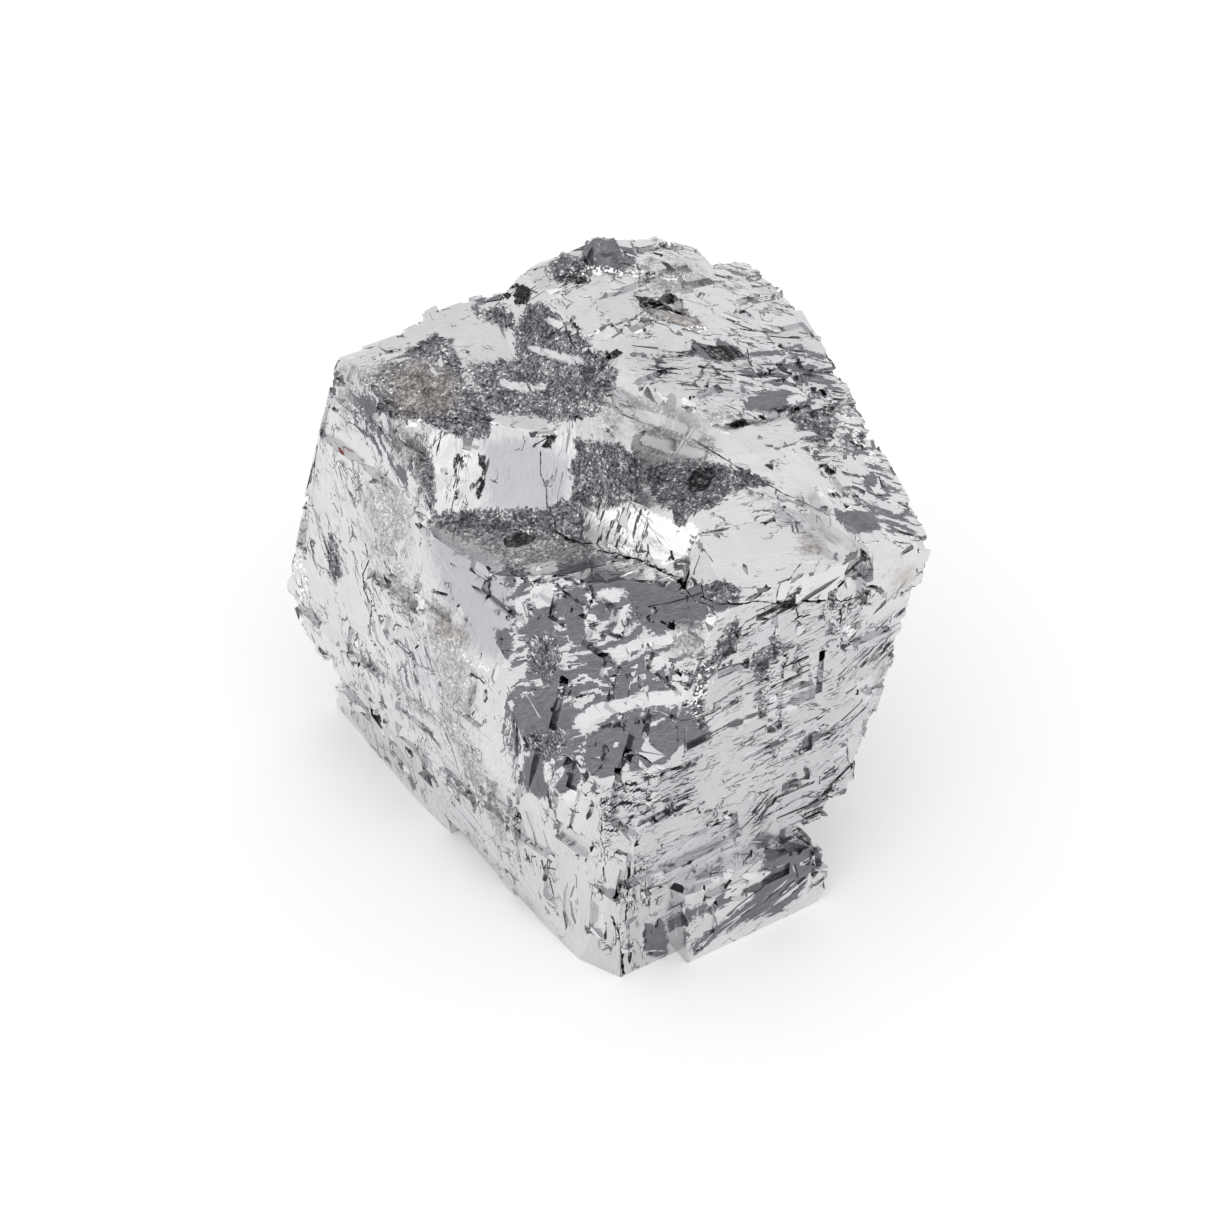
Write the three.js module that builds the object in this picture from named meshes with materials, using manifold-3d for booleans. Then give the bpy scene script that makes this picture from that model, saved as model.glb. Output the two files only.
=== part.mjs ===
// A rough cleaved lump of galena, one solid piece, in millimetres.
// X, Y and Z follow the crystal's three cleavage directions, which meet at right angles. The notches at
// the outline are square cuts along them, and the chips on each face run along the cleavage direction
// that crosses it. The large ledges broke less evenly, and have slanting walls and floors. The lump lies
// on a broken flat with +Z up, and the origin is the middle of its bounding box, on the surface it lies on.
import * as THREE from "three";
import { ConvexGeometry } from "three/addons/geometries/ConvexGeometry.js";
import { mergeVertices } from "three/addons/utils/BufferGeometryUtils.js";
import Module from "manifold-3d";

const wasm = await Module();
wasm.setup();

// Corners of the lump before anything breaks away, measured from the foot of its front edge.
const corners = {
  frontFoot: [0, 0, 0],
  frontRightFoot: [5, -1.4, 0],
  rightFoot: [16.7, -1.2, 0],
  rightFootTop: [17, -1.2, 3.6],
  rightBackFoot: [17.4, 9, 0],
  backFoot: [19, 28, 0],
  backLeftFoot: [9, 36, 0],
  leftBackFoot: [-3.4, 36, 0],
  leftFoot: [-3.3, 25, 0],
  leftFrontFoot: [-1.5, 3, 0],
  frontEdgeTop: [-0.2, 0, 9.6],
  rightWaist: [20.9, 0, 15],
  rightFlank: [23.2, 0, 22],
  rightShoulder: [24.8, -0.6, 29],
  rightBackWaist: [26, 24, 18],
  leftBackLow: [-5, 36, 5],
  leftBulge: [-6.6, 36, 13.5],
  leftBackHigh: [-4.7, 36, 21],
  leftBackTop: [-2.9, 36, 26.3],
  leftShoulder: [-1.1, 26, 23.2],
  frontBrow: [7.7, 0, 31.4],
  frontRightBrow: [22, -1, 30],
  leftCrown: [-0.2, 38, 31.3],
  leftCrownTop: [5, 38, 32.4],
  backLeftCrown: [10.8, 37, 33.2],
  backCrown: [18.6, 33, 37],
  backRightCrown: [24.3, 31.7, 36],
  rightBackCrown: [28.4, 27.2, 34.7],
  rightCrown: [29.5, 24, 34],
  rightBrow: [27.4, 13.5, 32.5],
  rightFrontCrown: [25.9, 5, 30.2],
  slabHead: [13.3, 18.7, 35],
  slabFoot: [19.2, 2.9, 33],
};

// Pieces that broke away and left the large ledges. Each is the space inside its flat faces, and a face
// is given by three points on it. The point marked inside says which side of each face the space is.
const brokenAway = {
  // the lowered left end of the crown, below a slanting riser
  leftCrown: {
    inside: [0, 30, 44],
    faces: [
      [[4.4, 25.7, 30.2], [-0.2, 37.9, 31.1], [9.4, 30, 31.9]],
      [[9.4, 17, 31.6], [12.8, 17, 34.9], [12.8, 45, 34.9]],
    ],
  },
  // the ledge on the front, with the leaning wall that rises from it to the crown
  shoulderLedge: {
    inside: [0, 14, 34],
    faces: [
      [[-0.8, 24.8, 24], [1.4, 18.1, 24], [7.6, 17.5, 24.2]],
      [[-0.8, 24.8, 24], [2.5, 24.1, 24], [4.4, 27, 29.6]],
      [[2.5, 24.1, 24], [7.6, 17.5, 24], [8.4, 21.5, 30]],
      [[8.4, 17.4, 26], [10.2, 8, 28], [9.9, 13.3, 29.2]],
      [[1.4, 18.1, 24], [7.6, 17.5, 24.2], [8.2, 4, 30]],
      [[11.1, 7.6, 31.3], [10.2, 7.8, 28], [7.4, 3.4, 31.4]],
    ],
  },
  // the dark hollow behind the bright wall, up to the foot of the slab
  darkHollow: {
    inside: [12, 11, 36],
    faces: [
      [[9.9, 12.7, 29.2], [12.4, 10, 30], [14, 14, 30.4]],
      [[9.9, 14.4, 29], [13.4, 15.4, 30], [11.6, 15.9, 33]],
      [[14.6, 13, 30], [18, 2.3, 30], [15.6, 13.4, 33.4]],
      [[9.6, 7.6, 30.4], [16.4, 5.6, 30.8], [9, 5.6, 32.4]],
    ],
  },
  // the bevel between the slab and the brow
  browBevel: {
    inside: [14, 0, 36],
    faces: [
      [[7.7, 0, 31], [22, -1, 29.6], [14.6, 13, 32.4]],
      [[14.6, 13, 32], [18.6, 2.3, 32], [15, 13.2, 33.4]],
    ],
  },
};

// Square bites at the lump's outline: lowest and highest corners.
const bites = {
  rightNotch: [[15.1, -4, 5], [26, 7, 7]],
  rightNotchFloor: [[16, -4, 4.2], [26, 7, 5.4]],
  rightNotchBrow: [[17.5, -4, 6.6], [26, 7, 8.4]],
  rightWaistStep: [[19, -4, 8.2], [26, 7, 9.6]],
  rightFootNotch: [[16.2, -4, -1], [24, 3, 0.8]],
  rightFootSide: [[16.8, -4, -1], [30, 13, 4.7]],
  leftFootStep: [[-8, 4.6, -1], [-1.9, 11, 0.8]],
  leftHeelStep: [[-8, 12, -1], [-2.1, 19, 1.6]],
  leftWaistStep: [[-9, 27, -1], [-4.8, 40, 8.8]],
  leftAnkleStep: [[-9, 22, -1], [-3.2, 40, 6.4]],
  shoulderStep: [[25.2, -4, 25.4], [32, 3.4, 34]],
  flankStep: [[23.2, -4, 18.6], [32, 2.6, 22.4]],
  backLeftStep: [[9.4, 34.8, 32.8], [15, 41, 40]],
  backShoulder: [[25.4, 28, 33], [32, 36, 40]],
  leftCrownStep: [[-4, 36.9, 31], [6.5, 41, 40]],
  tanPocket: [[18.5, 22.2, 34.9], [20.7, 26.4, 40]],
  frontStrip: [[-2, -4, -1], [4.8, -0.02, 7]],
  frontAboveBlock: [[-2, -4, 6.4], [26, -0.02, 25]],
  browFront: [[-2, -4, 24], [19, -0.02, 40]],
};

const chipSeed = 15;
// Families of chips: how many, their length, width and depth ranges, and which way the long side runs.
const chipFamilies = [
  { count: 50, length: [5, 12], width: [1.6, 4.5], depth: [0.3, 0.7] },
  { count: 330, length: [1.6, 5], width: [0.6, 1.8], depth: [0.2, 0.45] },
];
// Chips are spread over the outside of the lump only, so the ledges keep their broken floors and walls.
// No chip reaches below this height, so the flat that the lump lies on stays whole.
const footClearance = 1.6;
// How far the block that cuts a chip stands out of its face.
const outwards = 3;
// How many of the chips run along the first of the two directions that cross their face.
const firstDirectionShare = 0.6;

// A small seeded generator, so that every build gives the same lump.
function seeded(seed) {
  let state = seed >>> 0;
  return () => {
    state = (state + 0x6d2b79f5) >>> 0;
    let t = Math.imul(state ^ (state >>> 15), 1 | state);
    t = (t + Math.imul(t ^ (t >>> 7), 61 | t)) ^ t;
    return ((t ^ (t >>> 14)) >>> 0) / 4294967296;
  };
}

function solidOf(geometry) {
  const bare = geometry.clone();
  bare.deleteAttribute("normal");
  bare.deleteAttribute("uv");
  const merged = mergeVertices(bare, 1e-4);
  return new wasm.Manifold(
    new wasm.Mesh({
      numProp: 3,
      vertProperties: merged.attributes.position.array,
      triVerts: new Uint32Array(merged.index.array),
    }),
  );
}

function geometryOf(solid) {
  const mesh = solid.getMesh();
  const geometry = new THREE.BufferGeometry();
  geometry.setAttribute("position", new THREE.BufferAttribute(mesh.vertProperties, 3));
  geometry.setIndex(new THREE.BufferAttribute(mesh.triVerts, 1));
  geometry.computeVertexNormals();
  return geometry;
}

// The mesh without the crumbs that the cuts set free, which would fall away from the real lump.
function largestPiece(geometry) {
  const index = geometry.index.array;
  const parent = Array.from({ length: geometry.attributes.position.count }, (_, i) => i);
  const rootOf = (vertex) => {
    while (parent[vertex] !== vertex) vertex = parent[vertex] = parent[parent[vertex]];
    return vertex;
  };
  for (let i = 0; i < index.length; i += 3) {
    parent[rootOf(index[i])] = rootOf(index[i + 1]);
    parent[rootOf(index[i + 1])] = rootOf(index[i + 2]);
  }
  const pieces = new Map();
  for (let i = 0; i < index.length; i += 3) {
    const root = rootOf(index[i]);
    if (!pieces.has(root)) pieces.set(root, []);
    pieces.get(root).push(index[i], index[i + 1], index[i + 2]);
  }
  const largest = [...pieces.values()].sort((a, b) => b.length - a.length)[0];
  const kept = geometry.clone();
  kept.setIndex(largest);
  return solidOf(kept);
}

const convex = (points) => solidOf(new ConvexGeometry(points.map((p) => new THREE.Vector3(...p))));

function block([low, high]) {
  const size = high.map((value, axis) => value - low[axis]);
  const middle = high.map((value, axis) => (value + low[axis]) / 2);
  return solidOf(new THREE.BoxGeometry(...size).translate(...middle));
}

const farAway = 60;
const nearlyZero = 1e-6;

// The corners of the space inside some flat faces, where three of them meet and no other cuts it off.
function spaceCorners({ inside, faces }) {
  const middle = new THREE.Vector3(...inside);
  const planes = faces.map((points) => {
    const [a, b, c] = points.map((p) => new THREE.Vector3(...p));
    const plane = new THREE.Plane().setFromCoplanarPoints(a, b, c);
    return plane.distanceToPoint(middle) > 0 ? plane.negate() : plane;
  });
  for (const axis of ["x", "y", "z"]) {
    for (const sign of [-1, 1]) {
      const normal = new THREE.Vector3();
      normal[axis] = sign;
      planes.push(new THREE.Plane(normal, -farAway));
    }
  }
  const found = [];
  for (let i = 0; i < planes.length; i++) {
    for (let j = i + 1; j < planes.length; j++) {
      for (let k = j + 1; k < planes.length; k++) {
        const corner = meetingPoint(planes[i], planes[j], planes[k]);
        if (corner && planes.every((plane) => plane.distanceToPoint(corner) < nearlyZero)) {
          found.push(corner.toArray());
        }
      }
    }
  }
  return found;
}

// The point that three planes share, or null where two of them are parallel.
function meetingPoint(first, second, third) {
  const across = new THREE.Vector3().crossVectors(second.normal, third.normal);
  const volume = first.normal.dot(across);
  if (Math.abs(volume) < nearlyZero) return null;
  const corner = across.multiplyScalar(-first.constant);
  corner.addScaledVector(new THREE.Vector3().crossVectors(third.normal, first.normal), -second.constant);
  corner.addScaledVector(new THREE.Vector3().crossVectors(first.normal, second.normal), -third.constant);
  return corner.divideScalar(volume);
}

// A point spread evenly over the faces of a solid, with the axis that its face looks along most.
function surfacePoints(solid, count, random) {
  const geometry = geometryOf(solid).toNonIndexed();
  const position = geometry.attributes.position;
  const triangle = new THREE.Triangle();
  const areas = [];
  for (let i = 0; i < position.count; i += 3) {
    triangle.setFromAttributeAndIndices(position, i, i + 1, i + 2);
    areas.push((areas.at(-1) ?? 0) + triangle.getArea());
  }
  return Array.from({ length: count }, () => {
    const target = random() * areas.at(-1);
    const face = areas.findIndex((area) => area >= target) * 3;
    triangle.setFromAttributeAndIndices(position, face, face + 1, face + 2);
    const [u, v] = [random(), random()];
    const [s, t] = u + v > 1 ? [1 - u, 1 - v] : [u, v];
    const point = triangle.a.clone();
    point.addScaledVector(triangle.b.clone().sub(triangle.a), s);
    point.addScaledVector(triangle.c.clone().sub(triangle.a), t);
    return { point, normal: triangle.getNormal(new THREE.Vector3()) };
  });
}

// The block that a chip leaves: sunk into its face to a depth, and open outwards. Its sides follow a
// cleavage direction as it runs across the face.
function chip({ point, normal }, family, random) {
  const between = ([low, high]) => low + (high - low) * random();
  const facing = normal.toArray().map(Math.abs);
  const main = facing.indexOf(Math.max(...facing));
  const along = new THREE.Vector3().setComponent((main + (random() < firstDirectionShare ? 1 : 2)) % 3, 1);
  const side = new THREE.Vector3().crossVectors(normal, along).normalize();
  along.crossVectors(side, normal);
  const depth = between(family.depth);
  const size = [between(family.length), between(family.width), depth + outwards];
  const middle = point.clone().addScaledVector(normal, (outwards - depth) / 2);
  const frame = new THREE.Matrix4().makeBasis(along, side, normal).setPosition(middle);
  return solidOf(new THREE.BoxGeometry(...size).applyMatrix4(frame));
}

let outside = convex(Object.values(corners));
for (const box of Object.values(bites)) outside = outside.subtract(block(box));
let lump = outside;
for (const space of Object.values(brokenAway)) lump = lump.subtract(convex(spaceCorners(space)));

const random = seeded(chipSeed);
for (const family of chipFamilies) {
  for (const place of surfacePoints(outside, family.count, random)) {
    const gap = chip(place, family, random);
    if (gap.boundingBox().min[2] > footClearance) lump = lump.subtract(gap);
  }
}
lump = largestPiece(geometryOf(lump));

const galena = new THREE.Mesh(
  geometryOf(lump),
  new THREE.MeshStandardMaterial({ color: 0xbfc0c4, roughness: 0.35, metalness: 1 }),
);
galena.name = "galena";
galena.geometry.computeBoundingBox();
const bounds = galena.geometry.boundingBox;
const middle = bounds.getCenter(new THREE.Vector3());
galena.position.set(-middle.x, -middle.y, -bounds.min.z);

const specimen = new THREE.Group();
specimen.add(galena);
export default specimen;
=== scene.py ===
import math
import bpy
import bmesh
import numpy as np
from mathutils import Matrix, Vector
from mathutils.bvhtree import BVHTree


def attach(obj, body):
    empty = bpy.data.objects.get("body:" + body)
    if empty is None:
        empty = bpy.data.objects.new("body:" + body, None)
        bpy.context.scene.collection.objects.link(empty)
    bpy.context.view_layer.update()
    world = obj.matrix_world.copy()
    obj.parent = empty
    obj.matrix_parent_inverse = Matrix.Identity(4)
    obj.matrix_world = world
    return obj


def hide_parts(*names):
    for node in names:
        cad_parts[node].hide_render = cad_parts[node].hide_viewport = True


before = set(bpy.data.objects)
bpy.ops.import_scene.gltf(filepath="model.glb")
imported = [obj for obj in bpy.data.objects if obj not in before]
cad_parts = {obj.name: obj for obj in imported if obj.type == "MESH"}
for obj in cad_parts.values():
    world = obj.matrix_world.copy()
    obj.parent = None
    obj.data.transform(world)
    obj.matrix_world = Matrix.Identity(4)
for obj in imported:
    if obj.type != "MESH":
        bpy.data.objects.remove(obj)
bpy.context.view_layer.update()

mm = 0.001
nearlyZero = 1e-30  # keeps a division by a length of nothing from failing

# The camera comes first, because outlines on the lump are given in pixels of its frame.
view = {  # angles in degrees, the target, the distance, the lens and the sensor in mm
    "frameSize": 1214,
    "elevation": 40.0,
    "azimuth": -32.0,
    "target": (9.49, 16.745, 0.0),
    "distance": 269.8,
    "lens": 100.0,
    "sensor": 36.0,
}
turn = math.radians(view["azimuth"])
lift = math.radians(view["elevation"])
viewBack = Vector((math.sin(turn) * math.cos(lift), -math.cos(turn) * math.cos(lift), math.sin(lift)))
viewRight = Vector((math.cos(turn), math.sin(turn), 0.0))
viewUp = viewBack.cross(viewRight)
viewEye = Vector(view["target"]) * mm + viewBack * view["distance"] * mm
pixelFocus = view["lens"] / view["sensor"] * view["frameSize"]
pixelSize = view["distance"] / pixelFocus  # in mm, at the target


def makeCamera():
    bpy.ops.object.camera_add(location=viewEye)
    camera = bpy.context.object
    camera.name = "viewCamera"
    camera.rotation_euler = Matrix((viewRight, viewUp, viewBack)).transposed().to_euler()
    camera.data.lens = view["lens"]
    camera.data.sensor_width = view["sensor"]
    camera.data.clip_start = 0.01
    bpy.context.scene.camera = camera
    bpy.context.scene.view_settings.view_transform = "Standard"


def toPixels(points):
    away = points - np.array(viewEye)
    depth = -away @ np.array(viewBack)
    half = view["frameSize"] / 2
    across = half + pixelFocus * (away @ np.array(viewRight)) / depth
    down = half - pixelFocus * (away @ np.array(viewUp)) / depth
    return np.stack([across, down], axis=1)


def pixelHit(tree, across, down):
    half = view["frameSize"] / 2
    ray = viewRight * (across - half) / pixelFocus + viewUp * (half - down) / pixelFocus - viewBack
    place, normal, _, _ = tree.ray_cast(viewEye, ray.normalized())
    return place, normal


makeCamera()
print("camera placed")

# Patches of another finish, outlined in pixels of the frame.
patches = {
    "paintedDarkReflection": {  # flat faces that throw the light away: painted dark reflection, an even blue-grey
        "rightLens": [(737, 398), (766, 391), (800, 387), (820, 392), (815, 404), (790, 412), (744, 411)],
        "underCrack": [(626, 590), (650, 582), (677, 580), (706, 585), (740, 593), (738, 605), (720, 612),
                       (700, 618), (687, 629), (653, 631), (640, 627), (632, 608)],
        "lowBand": [(587, 736), (600, 727), (628, 717), (677, 709), (700, 717), (711, 729), (704, 741),
                    (665, 763), (618, 775), (592, 778), (583, 760)],
        "columnTop": [(516, 605), (530, 600), (553, 602), (556, 622), (552, 640), (530, 642), (520, 628)],
        "columnLow": [(510, 702), (528, 694), (560, 697), (574, 712), (572, 752), (548, 760), (524, 752),
                      (511, 740)],
        "columnFoot": [(524, 754), (548, 758), (578, 756), (584, 770), (576, 790), (560, 796), (540, 800),
                       (524, 786)],
        "shelfFront": [(553, 543), (600, 548), (640, 566), (634, 590), (600, 586), (575, 578), (556, 572)],
        "shelfFoot": [(562, 590), (580, 584), (590, 600), (586, 640), (572, 650), (564, 620)],
        "footWedge": [(764, 848), (781, 834), (808, 837), (825, 860), (811, 872), (796, 904), (781, 913),
                      (761, 913), (717, 936), (693, 957), (689, 945), (723, 922), (746, 904), (764, 881)],
        "footBar": [(661, 922), (728, 892), (734, 901), (670, 931)],
        "footEnd": [(643, 919), (658, 916), (668, 931), (667, 960), (643, 954)],
        "slabEnd": [(831, 509), (873, 509), (882, 530), (851, 536), (839, 521)],
        "rightFacet": [(860, 475), (875, 472), (894, 494), (887, 505), (868, 492)],
        "rightTip": [(890, 517), (916, 509), (909, 521), (892, 523)],
        "greySlab": [(495, 630), (515, 626), (510, 660), (495, 656)],
        "topBox": [(690, 342), (712, 338), (731, 342), (744, 352), (740, 361), (715, 363), (697, 357)],
        "notchSide": [(474, 298), (500, 287), (516, 284), (514, 304), (476, 304)],
        "rightStreak": [(795, 748), (806, 738), (822, 731), (820, 740), (802, 752)],
        "rightSpot": [(803, 800), (816, 794), (826, 800), (818, 812), (806, 812)],
    },
    "grainy": {  # torn instead of cleaved: dark, with sparks from tiny cube faces, partly real cubes and partly painted shade and glints in the grain
        "topBand": [(528, 304), (514, 332), (517, 360), (465, 364), (491, 414), (530, 416), (558, 423),
                    (599, 414), (612, 390), (619, 371), (597, 351), (545, 304)],
        "underNotch": [(471, 306), (508, 306), (517, 321), (512, 330), (473, 317)],
        "brownPatch": [(404, 354), (434, 332), (450, 343), (460, 358), (467, 382), (491, 410), (491, 438),
                       (456, 438), (421, 421), (387, 419), (374, 390), (354, 380), (391, 360)],
        "wallBlock": [(574, 438), (618, 443), (642, 463), (642, 477), (638, 497), (608, 509), (582, 506),
                      (567, 499), (574, 482), (567, 472), (577, 455)],
        "hollow": [(652, 463), (696, 458), (727, 467), (747, 470), (776, 484), (744, 489), (715, 504),
                   (691, 516), (664, 509), (650, 492), (645, 472)],
        "underLens": [(789, 416), (834, 406), (840, 424), (826, 446), (800, 440)],
        "ledge": [(425, 522), (440, 512), (480, 510), (547, 507), (560, 500), (580, 504), (585, 522),
                  (584, 541), (600, 548), (600, 556), (540, 575), (505, 572), (495, 554)],
        "strip": [(728, 622), (745, 619), (740, 636), (728, 661), (716, 670), (706, 685), (704, 714),
                  (711, 731), (696, 727), (691, 709), (696, 670), (711, 656)],
        "curve": [(774, 641), (799, 644), (794, 649), (774, 656), (767, 670), (762, 692), (768, 714),
                  (765, 724), (755, 709), (755, 685), (752, 661), (762, 649)],
        "lozenge": [(704, 583), (728, 580), (740, 590), (735, 600), (711, 602)],
        "columnSpot": [(517, 732), (567, 728), (567, 751), (545, 758), (519, 750)],
        "columnGrain": [(526, 638), (556, 632), (562, 668), (545, 682), (528, 670)],
        "knobSide": [(548, 262), (566, 252), (584, 262), (584, 280), (556, 282)],
        "leftLens": [(330, 522), (338, 545), (340, 578), (331, 588), (325, 570), (327, 545)],
        "edgeGroove": [(421, 440), (436, 470), (431, 516), (422, 490), (416, 460)],
    },
    "pale": {  # torn too, but half polished, so the grain is light
        "brown": [(392, 366), (425, 356), (452, 372), (458, 398), (440, 412), (410, 414), (390, 400)],
        "leftTop": [(353, 366), (384, 360), (392, 376), (374, 388), (356, 384)],
        "leftUpper": [(388, 424), (404, 420), (418, 440), (426, 470), (422, 500), (405, 480), (394, 455)],
        "leftFace": [(362, 492), (385, 488), (405, 500), (410, 540), (400, 562), (380, 560), (366, 540)],
        "leftStreak": [(385, 562), (404, 560), (413, 590), (410, 622), (396, 604), (388, 584)],
        "leftSeam": [(424, 596), (440, 600), (462, 630), (470, 680), (476, 740), (462, 745), (446, 700),
                     (432, 650)],
        "seamFoot": [(440, 700), (470, 745), (500, 800), (520, 850), (500, 850), (470, 800), (446, 745)],
        "leftEdge": [(339, 367), (350, 366), (354, 400), (346, 432), (338, 425)],
        "middle": [(673, 627), (700, 625), (702, 650), (690, 662), (674, 655)],
        "crownGrey": [(646, 258), (690, 262), (712, 282), (690, 298), (655, 292)],
        "slabMark": [(700, 410), (730, 408), (740, 420), (722, 428), (704, 422)],
        "browMark": [(794, 548), (806, 535), (822, 540), (824, 552), (806, 556)],
        "rightRim": [(880, 660), (906, 650), (902, 680), (888, 706), (878, 690)],
        "tanGrain": [(640, 300), (662, 303), (683, 316), (706, 326), (702, 338), (680, 332), (655, 318)],
        "slabEndGrain": [(600, 400), (616, 392), (622, 412), (620, 436), (606, 440), (600, 424)],
        "slabUnder": [(630, 402), (652, 398), (690, 420), (712, 440), (712, 458), (650, 462), (636, 444)],
        "ledgeHaze": [(430, 524), (500, 540), (556, 536), (600, 550), (560, 566), (505, 568), (460, 545)],
    },
    "paintedPitShade": {  # notches and pits that hold little light: painted shade over the grain
        "notch": [(498, 289), (519, 283), (533, 289), (527, 305), (500, 304)],
        "wallSquare": [(530, 438), (558, 434), (553, 449), (532, 447)],
        "hollowDeep": [(694, 470), (712, 464), (716, 478), (704, 490), (688, 494), (686, 482)],
        "pit": [(502, 539), (517, 530), (530, 535), (541, 539), (517, 548), (502, 547)],
        "slabMark": [(827, 494), (851, 490), (848, 497), (834, 498)],
        "hole": [(580, 773), (588, 771), (593, 782), (584, 784)],
        "groove": [(478, 453), (485, 453), (485, 510), (478, 510)],
        "slitOne": [(454, 453), (459, 453), (458, 473), (454, 473)],
        "slitSeven": [(461, 456), (464, 456), (463, 470), (460, 470)],
        "slitEight": [(500, 634), (504, 634), (502, 656), (498, 656)],
        "slabDashOne": [(818, 466), (832, 468), (840, 474), (826, 472)],
        "slabDashTwo": [(724, 424), (742, 420), (752, 424), (736, 429)],
        "bandDash": [(466, 351), (486, 356), (510, 363), (508, 366), (484, 360), (466, 354)],
        "slitTwo": [(470, 481), (473, 481), (472, 494), (469, 494)],
        "slitThree": [(508, 607), (512, 609), (506, 630), (503, 628)],
        "slitFour": [(489, 582), (492, 584), (490, 600), (486, 600)],
        "slitFive": [(471, 704), (475, 705), (473, 717), (469, 716)],
        "slitSix": [(484, 689), (488, 690), (486, 705), (482, 704)],
        "bandBar": [(603, 744), (607, 745), (604, 768), (600, 767)],
        "bandEdge": [(587, 734), (606, 724), (640, 720), (640, 724), (608, 729), (589, 738)],
        "crackMouth": [(676, 570), (690, 574), (700, 586), (690, 586), (680, 581)],
        "crackSpot": [(672, 560), (690, 558), (690, 572), (676, 574)],
        "tanHole": [(636, 295), (650, 298), (664, 304), (684, 315), (684, 319), (660, 309), (644, 309),
                    (637, 303)],
        "paintedGlintGap": [(654, 570), (664, 566), (668, 572), (656, 577)],
        "footSlot": [(650, 930), (653, 930), (652, 957), (649, 957)],
        "columnDark": [(520, 736), (540, 733), (542, 746), (524, 748)],
        "boxEnd": [(706, 346), (734, 346), (745, 355), (738, 361), (716, 361), (704, 355)],
        "boxSide": [(691, 342), (697, 342), (698, 355), (692, 353)],
    },
    "lath": {  # cleavage laths that lie at two slopes, so they are light and dark by turns: the dark ones are painted shade
        "front": [(500, 560), (560, 545), (640, 560), (700, 590), (705, 640), (700, 712), (640, 716),
                  (590, 735), (560, 790), (520, 790), (500, 700), (520, 640), (505, 600)],
        "topRight": [(730, 352), (800, 345), (840, 365), (842, 400), (790, 392), (740, 392)],
        "rightEdge": [(835, 400), (865, 430), (895, 490), (925, 530), (900, 545), (860, 500), (838, 440)],
        "bandTop": [(520, 392), (560, 372), (606, 392), (575, 402), (540, 408)],
        "leftRim": [(345, 385), (375, 395), (400, 430), (425, 440), (430, 500), (395, 470), (370, 440)],
    },
    "busy": {  # many short steps
        "frontRight": [(600, 790), (680, 760), (720, 640), (790, 605), (905, 600), (905, 650), (850, 790),
                       (800, 835), (745, 865), (640, 890), (600, 850)],
        "topRight": [(620, 350), (700, 344), (800, 340), (850, 400), (760, 400), (650, 392)],
        "bandFoot": [(470, 360), (610, 380), (610, 420), (520, 425), (470, 400)],
        "leftSeam": [(400, 590), (430, 640), (450, 700), (500, 800), (470, 800), (420, 700), (390, 640)],
        "foot": [(615, 850), (645, 850), (650, 920), (640, 965), (615, 965)],
    },
    "thick": {  # steps packed so closely that the painted shade of their sides runs together
        "crossMark": [(737, 741), (750, 738), (764, 743), (760, 752), (740, 752)],
        "lowOne": [(663, 800), (690, 790), (704, 798), (700, 812), (670, 822)],
        "lowTwo": [(597, 820), (625, 812), (636, 822), (610, 840), (598, 838)],
        "steepOne": [(748, 836), (756, 812), (766, 800), (772, 808), (758, 838)],
        "steepTwo": [(730, 862), (744, 838), (753, 842), (742, 868)],
        "rightLow": [(796, 804), (812, 792), (828, 796), (824, 822), (806, 828)],
        "rightMiddle": [(790, 750), (806, 736), (822, 728), (850, 722), (838, 742), (800, 758)],
        "rightHigh": [(824, 682), (840, 664), (858, 660), (850, 676), (832, 690)],
        "rightTop": [(852, 657), (880, 640), (902, 640), (896, 654), (866, 666)],
        "crackOne": [(735, 592), (760, 586), (780, 592), (760, 604), (738, 606)],
        "crackTwo": [(812, 592), (845, 588), (858, 594), (840, 604), (815, 602)],
        "lathGap": [(590, 655), (640, 650), (692, 655), (690, 668), (640, 664), (595, 668)],
        "underBand": [(603, 784), (640, 774), (700, 760), (704, 770), (650, 790), (606, 798)],
        "edgeFoot": [(590, 802), (620, 792), (650, 800), (620, 814), (596, 812)],
        "middleLine": [(560, 690), (640, 680), (700, 676), (702, 684), (640, 690), (570, 700)],
        "crownOne": [(660, 246), (690, 242), (694, 256), (668, 262)],
        "crownTwo": [(692, 250), (718, 254), (714, 270), (696, 266)],
        "crownThree": [(596, 322), (640, 330), (662, 344), (640, 346), (606, 334)],
        "crownFour": [(716, 256), (752, 268), (764, 282), (730, 274)],
        "crownFive": [(740, 296), (784, 306), (796, 320), (756, 314)],
        "crownSix": [(706, 318), (744, 322), (760, 338), (722, 336)],
        "rimOne": [(770, 282), (790, 296), (800, 312), (782, 302)],
        "topOne": [(640, 352), (690, 350), (702, 366), (660, 376)],
        "topTwo": [(696, 362), (740, 366), (764, 380), (720, 386)],
        "topThree": [(764, 372), (824, 366), (834, 378), (780, 386)],
        "slabEdge": [(818, 462), (836, 474), (852, 498), (846, 508), (828, 486)],
        "hollowLip": [(700, 440), (740, 452), (770, 476), (744, 470), (706, 454)],
        "rimStrokes": [(634, 410), (660, 414), (700, 430), (726, 444), (700, 448), (650, 438)],
        "shoulderLine": [(452, 344), (480, 352), (506, 358), (504, 364), (470, 356)],
        "wallMarks": [(448, 462), (466, 458), (464, 500), (450, 504)],
        "leftEdge": [(352, 372), (376, 386), (390, 400), (372, 398), (354, 384)],
    },
    "quiet": {  # clean mirrors
        "slab": [(612, 392), (660, 388), (720, 425), (790, 440), (845, 492), (826, 508), (760, 478),
                 (690, 436), (630, 415)],
        "wall": [(488, 446), (530, 440), (570, 456), (566, 500), (550, 520), (490, 508)],
        "brow": [(700, 540), (760, 520), (840, 540), (850, 590), (790, 598), (700, 575)],
        "shoulder": [(455, 335), (515, 335), (510, 362), (470, 352)],
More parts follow.
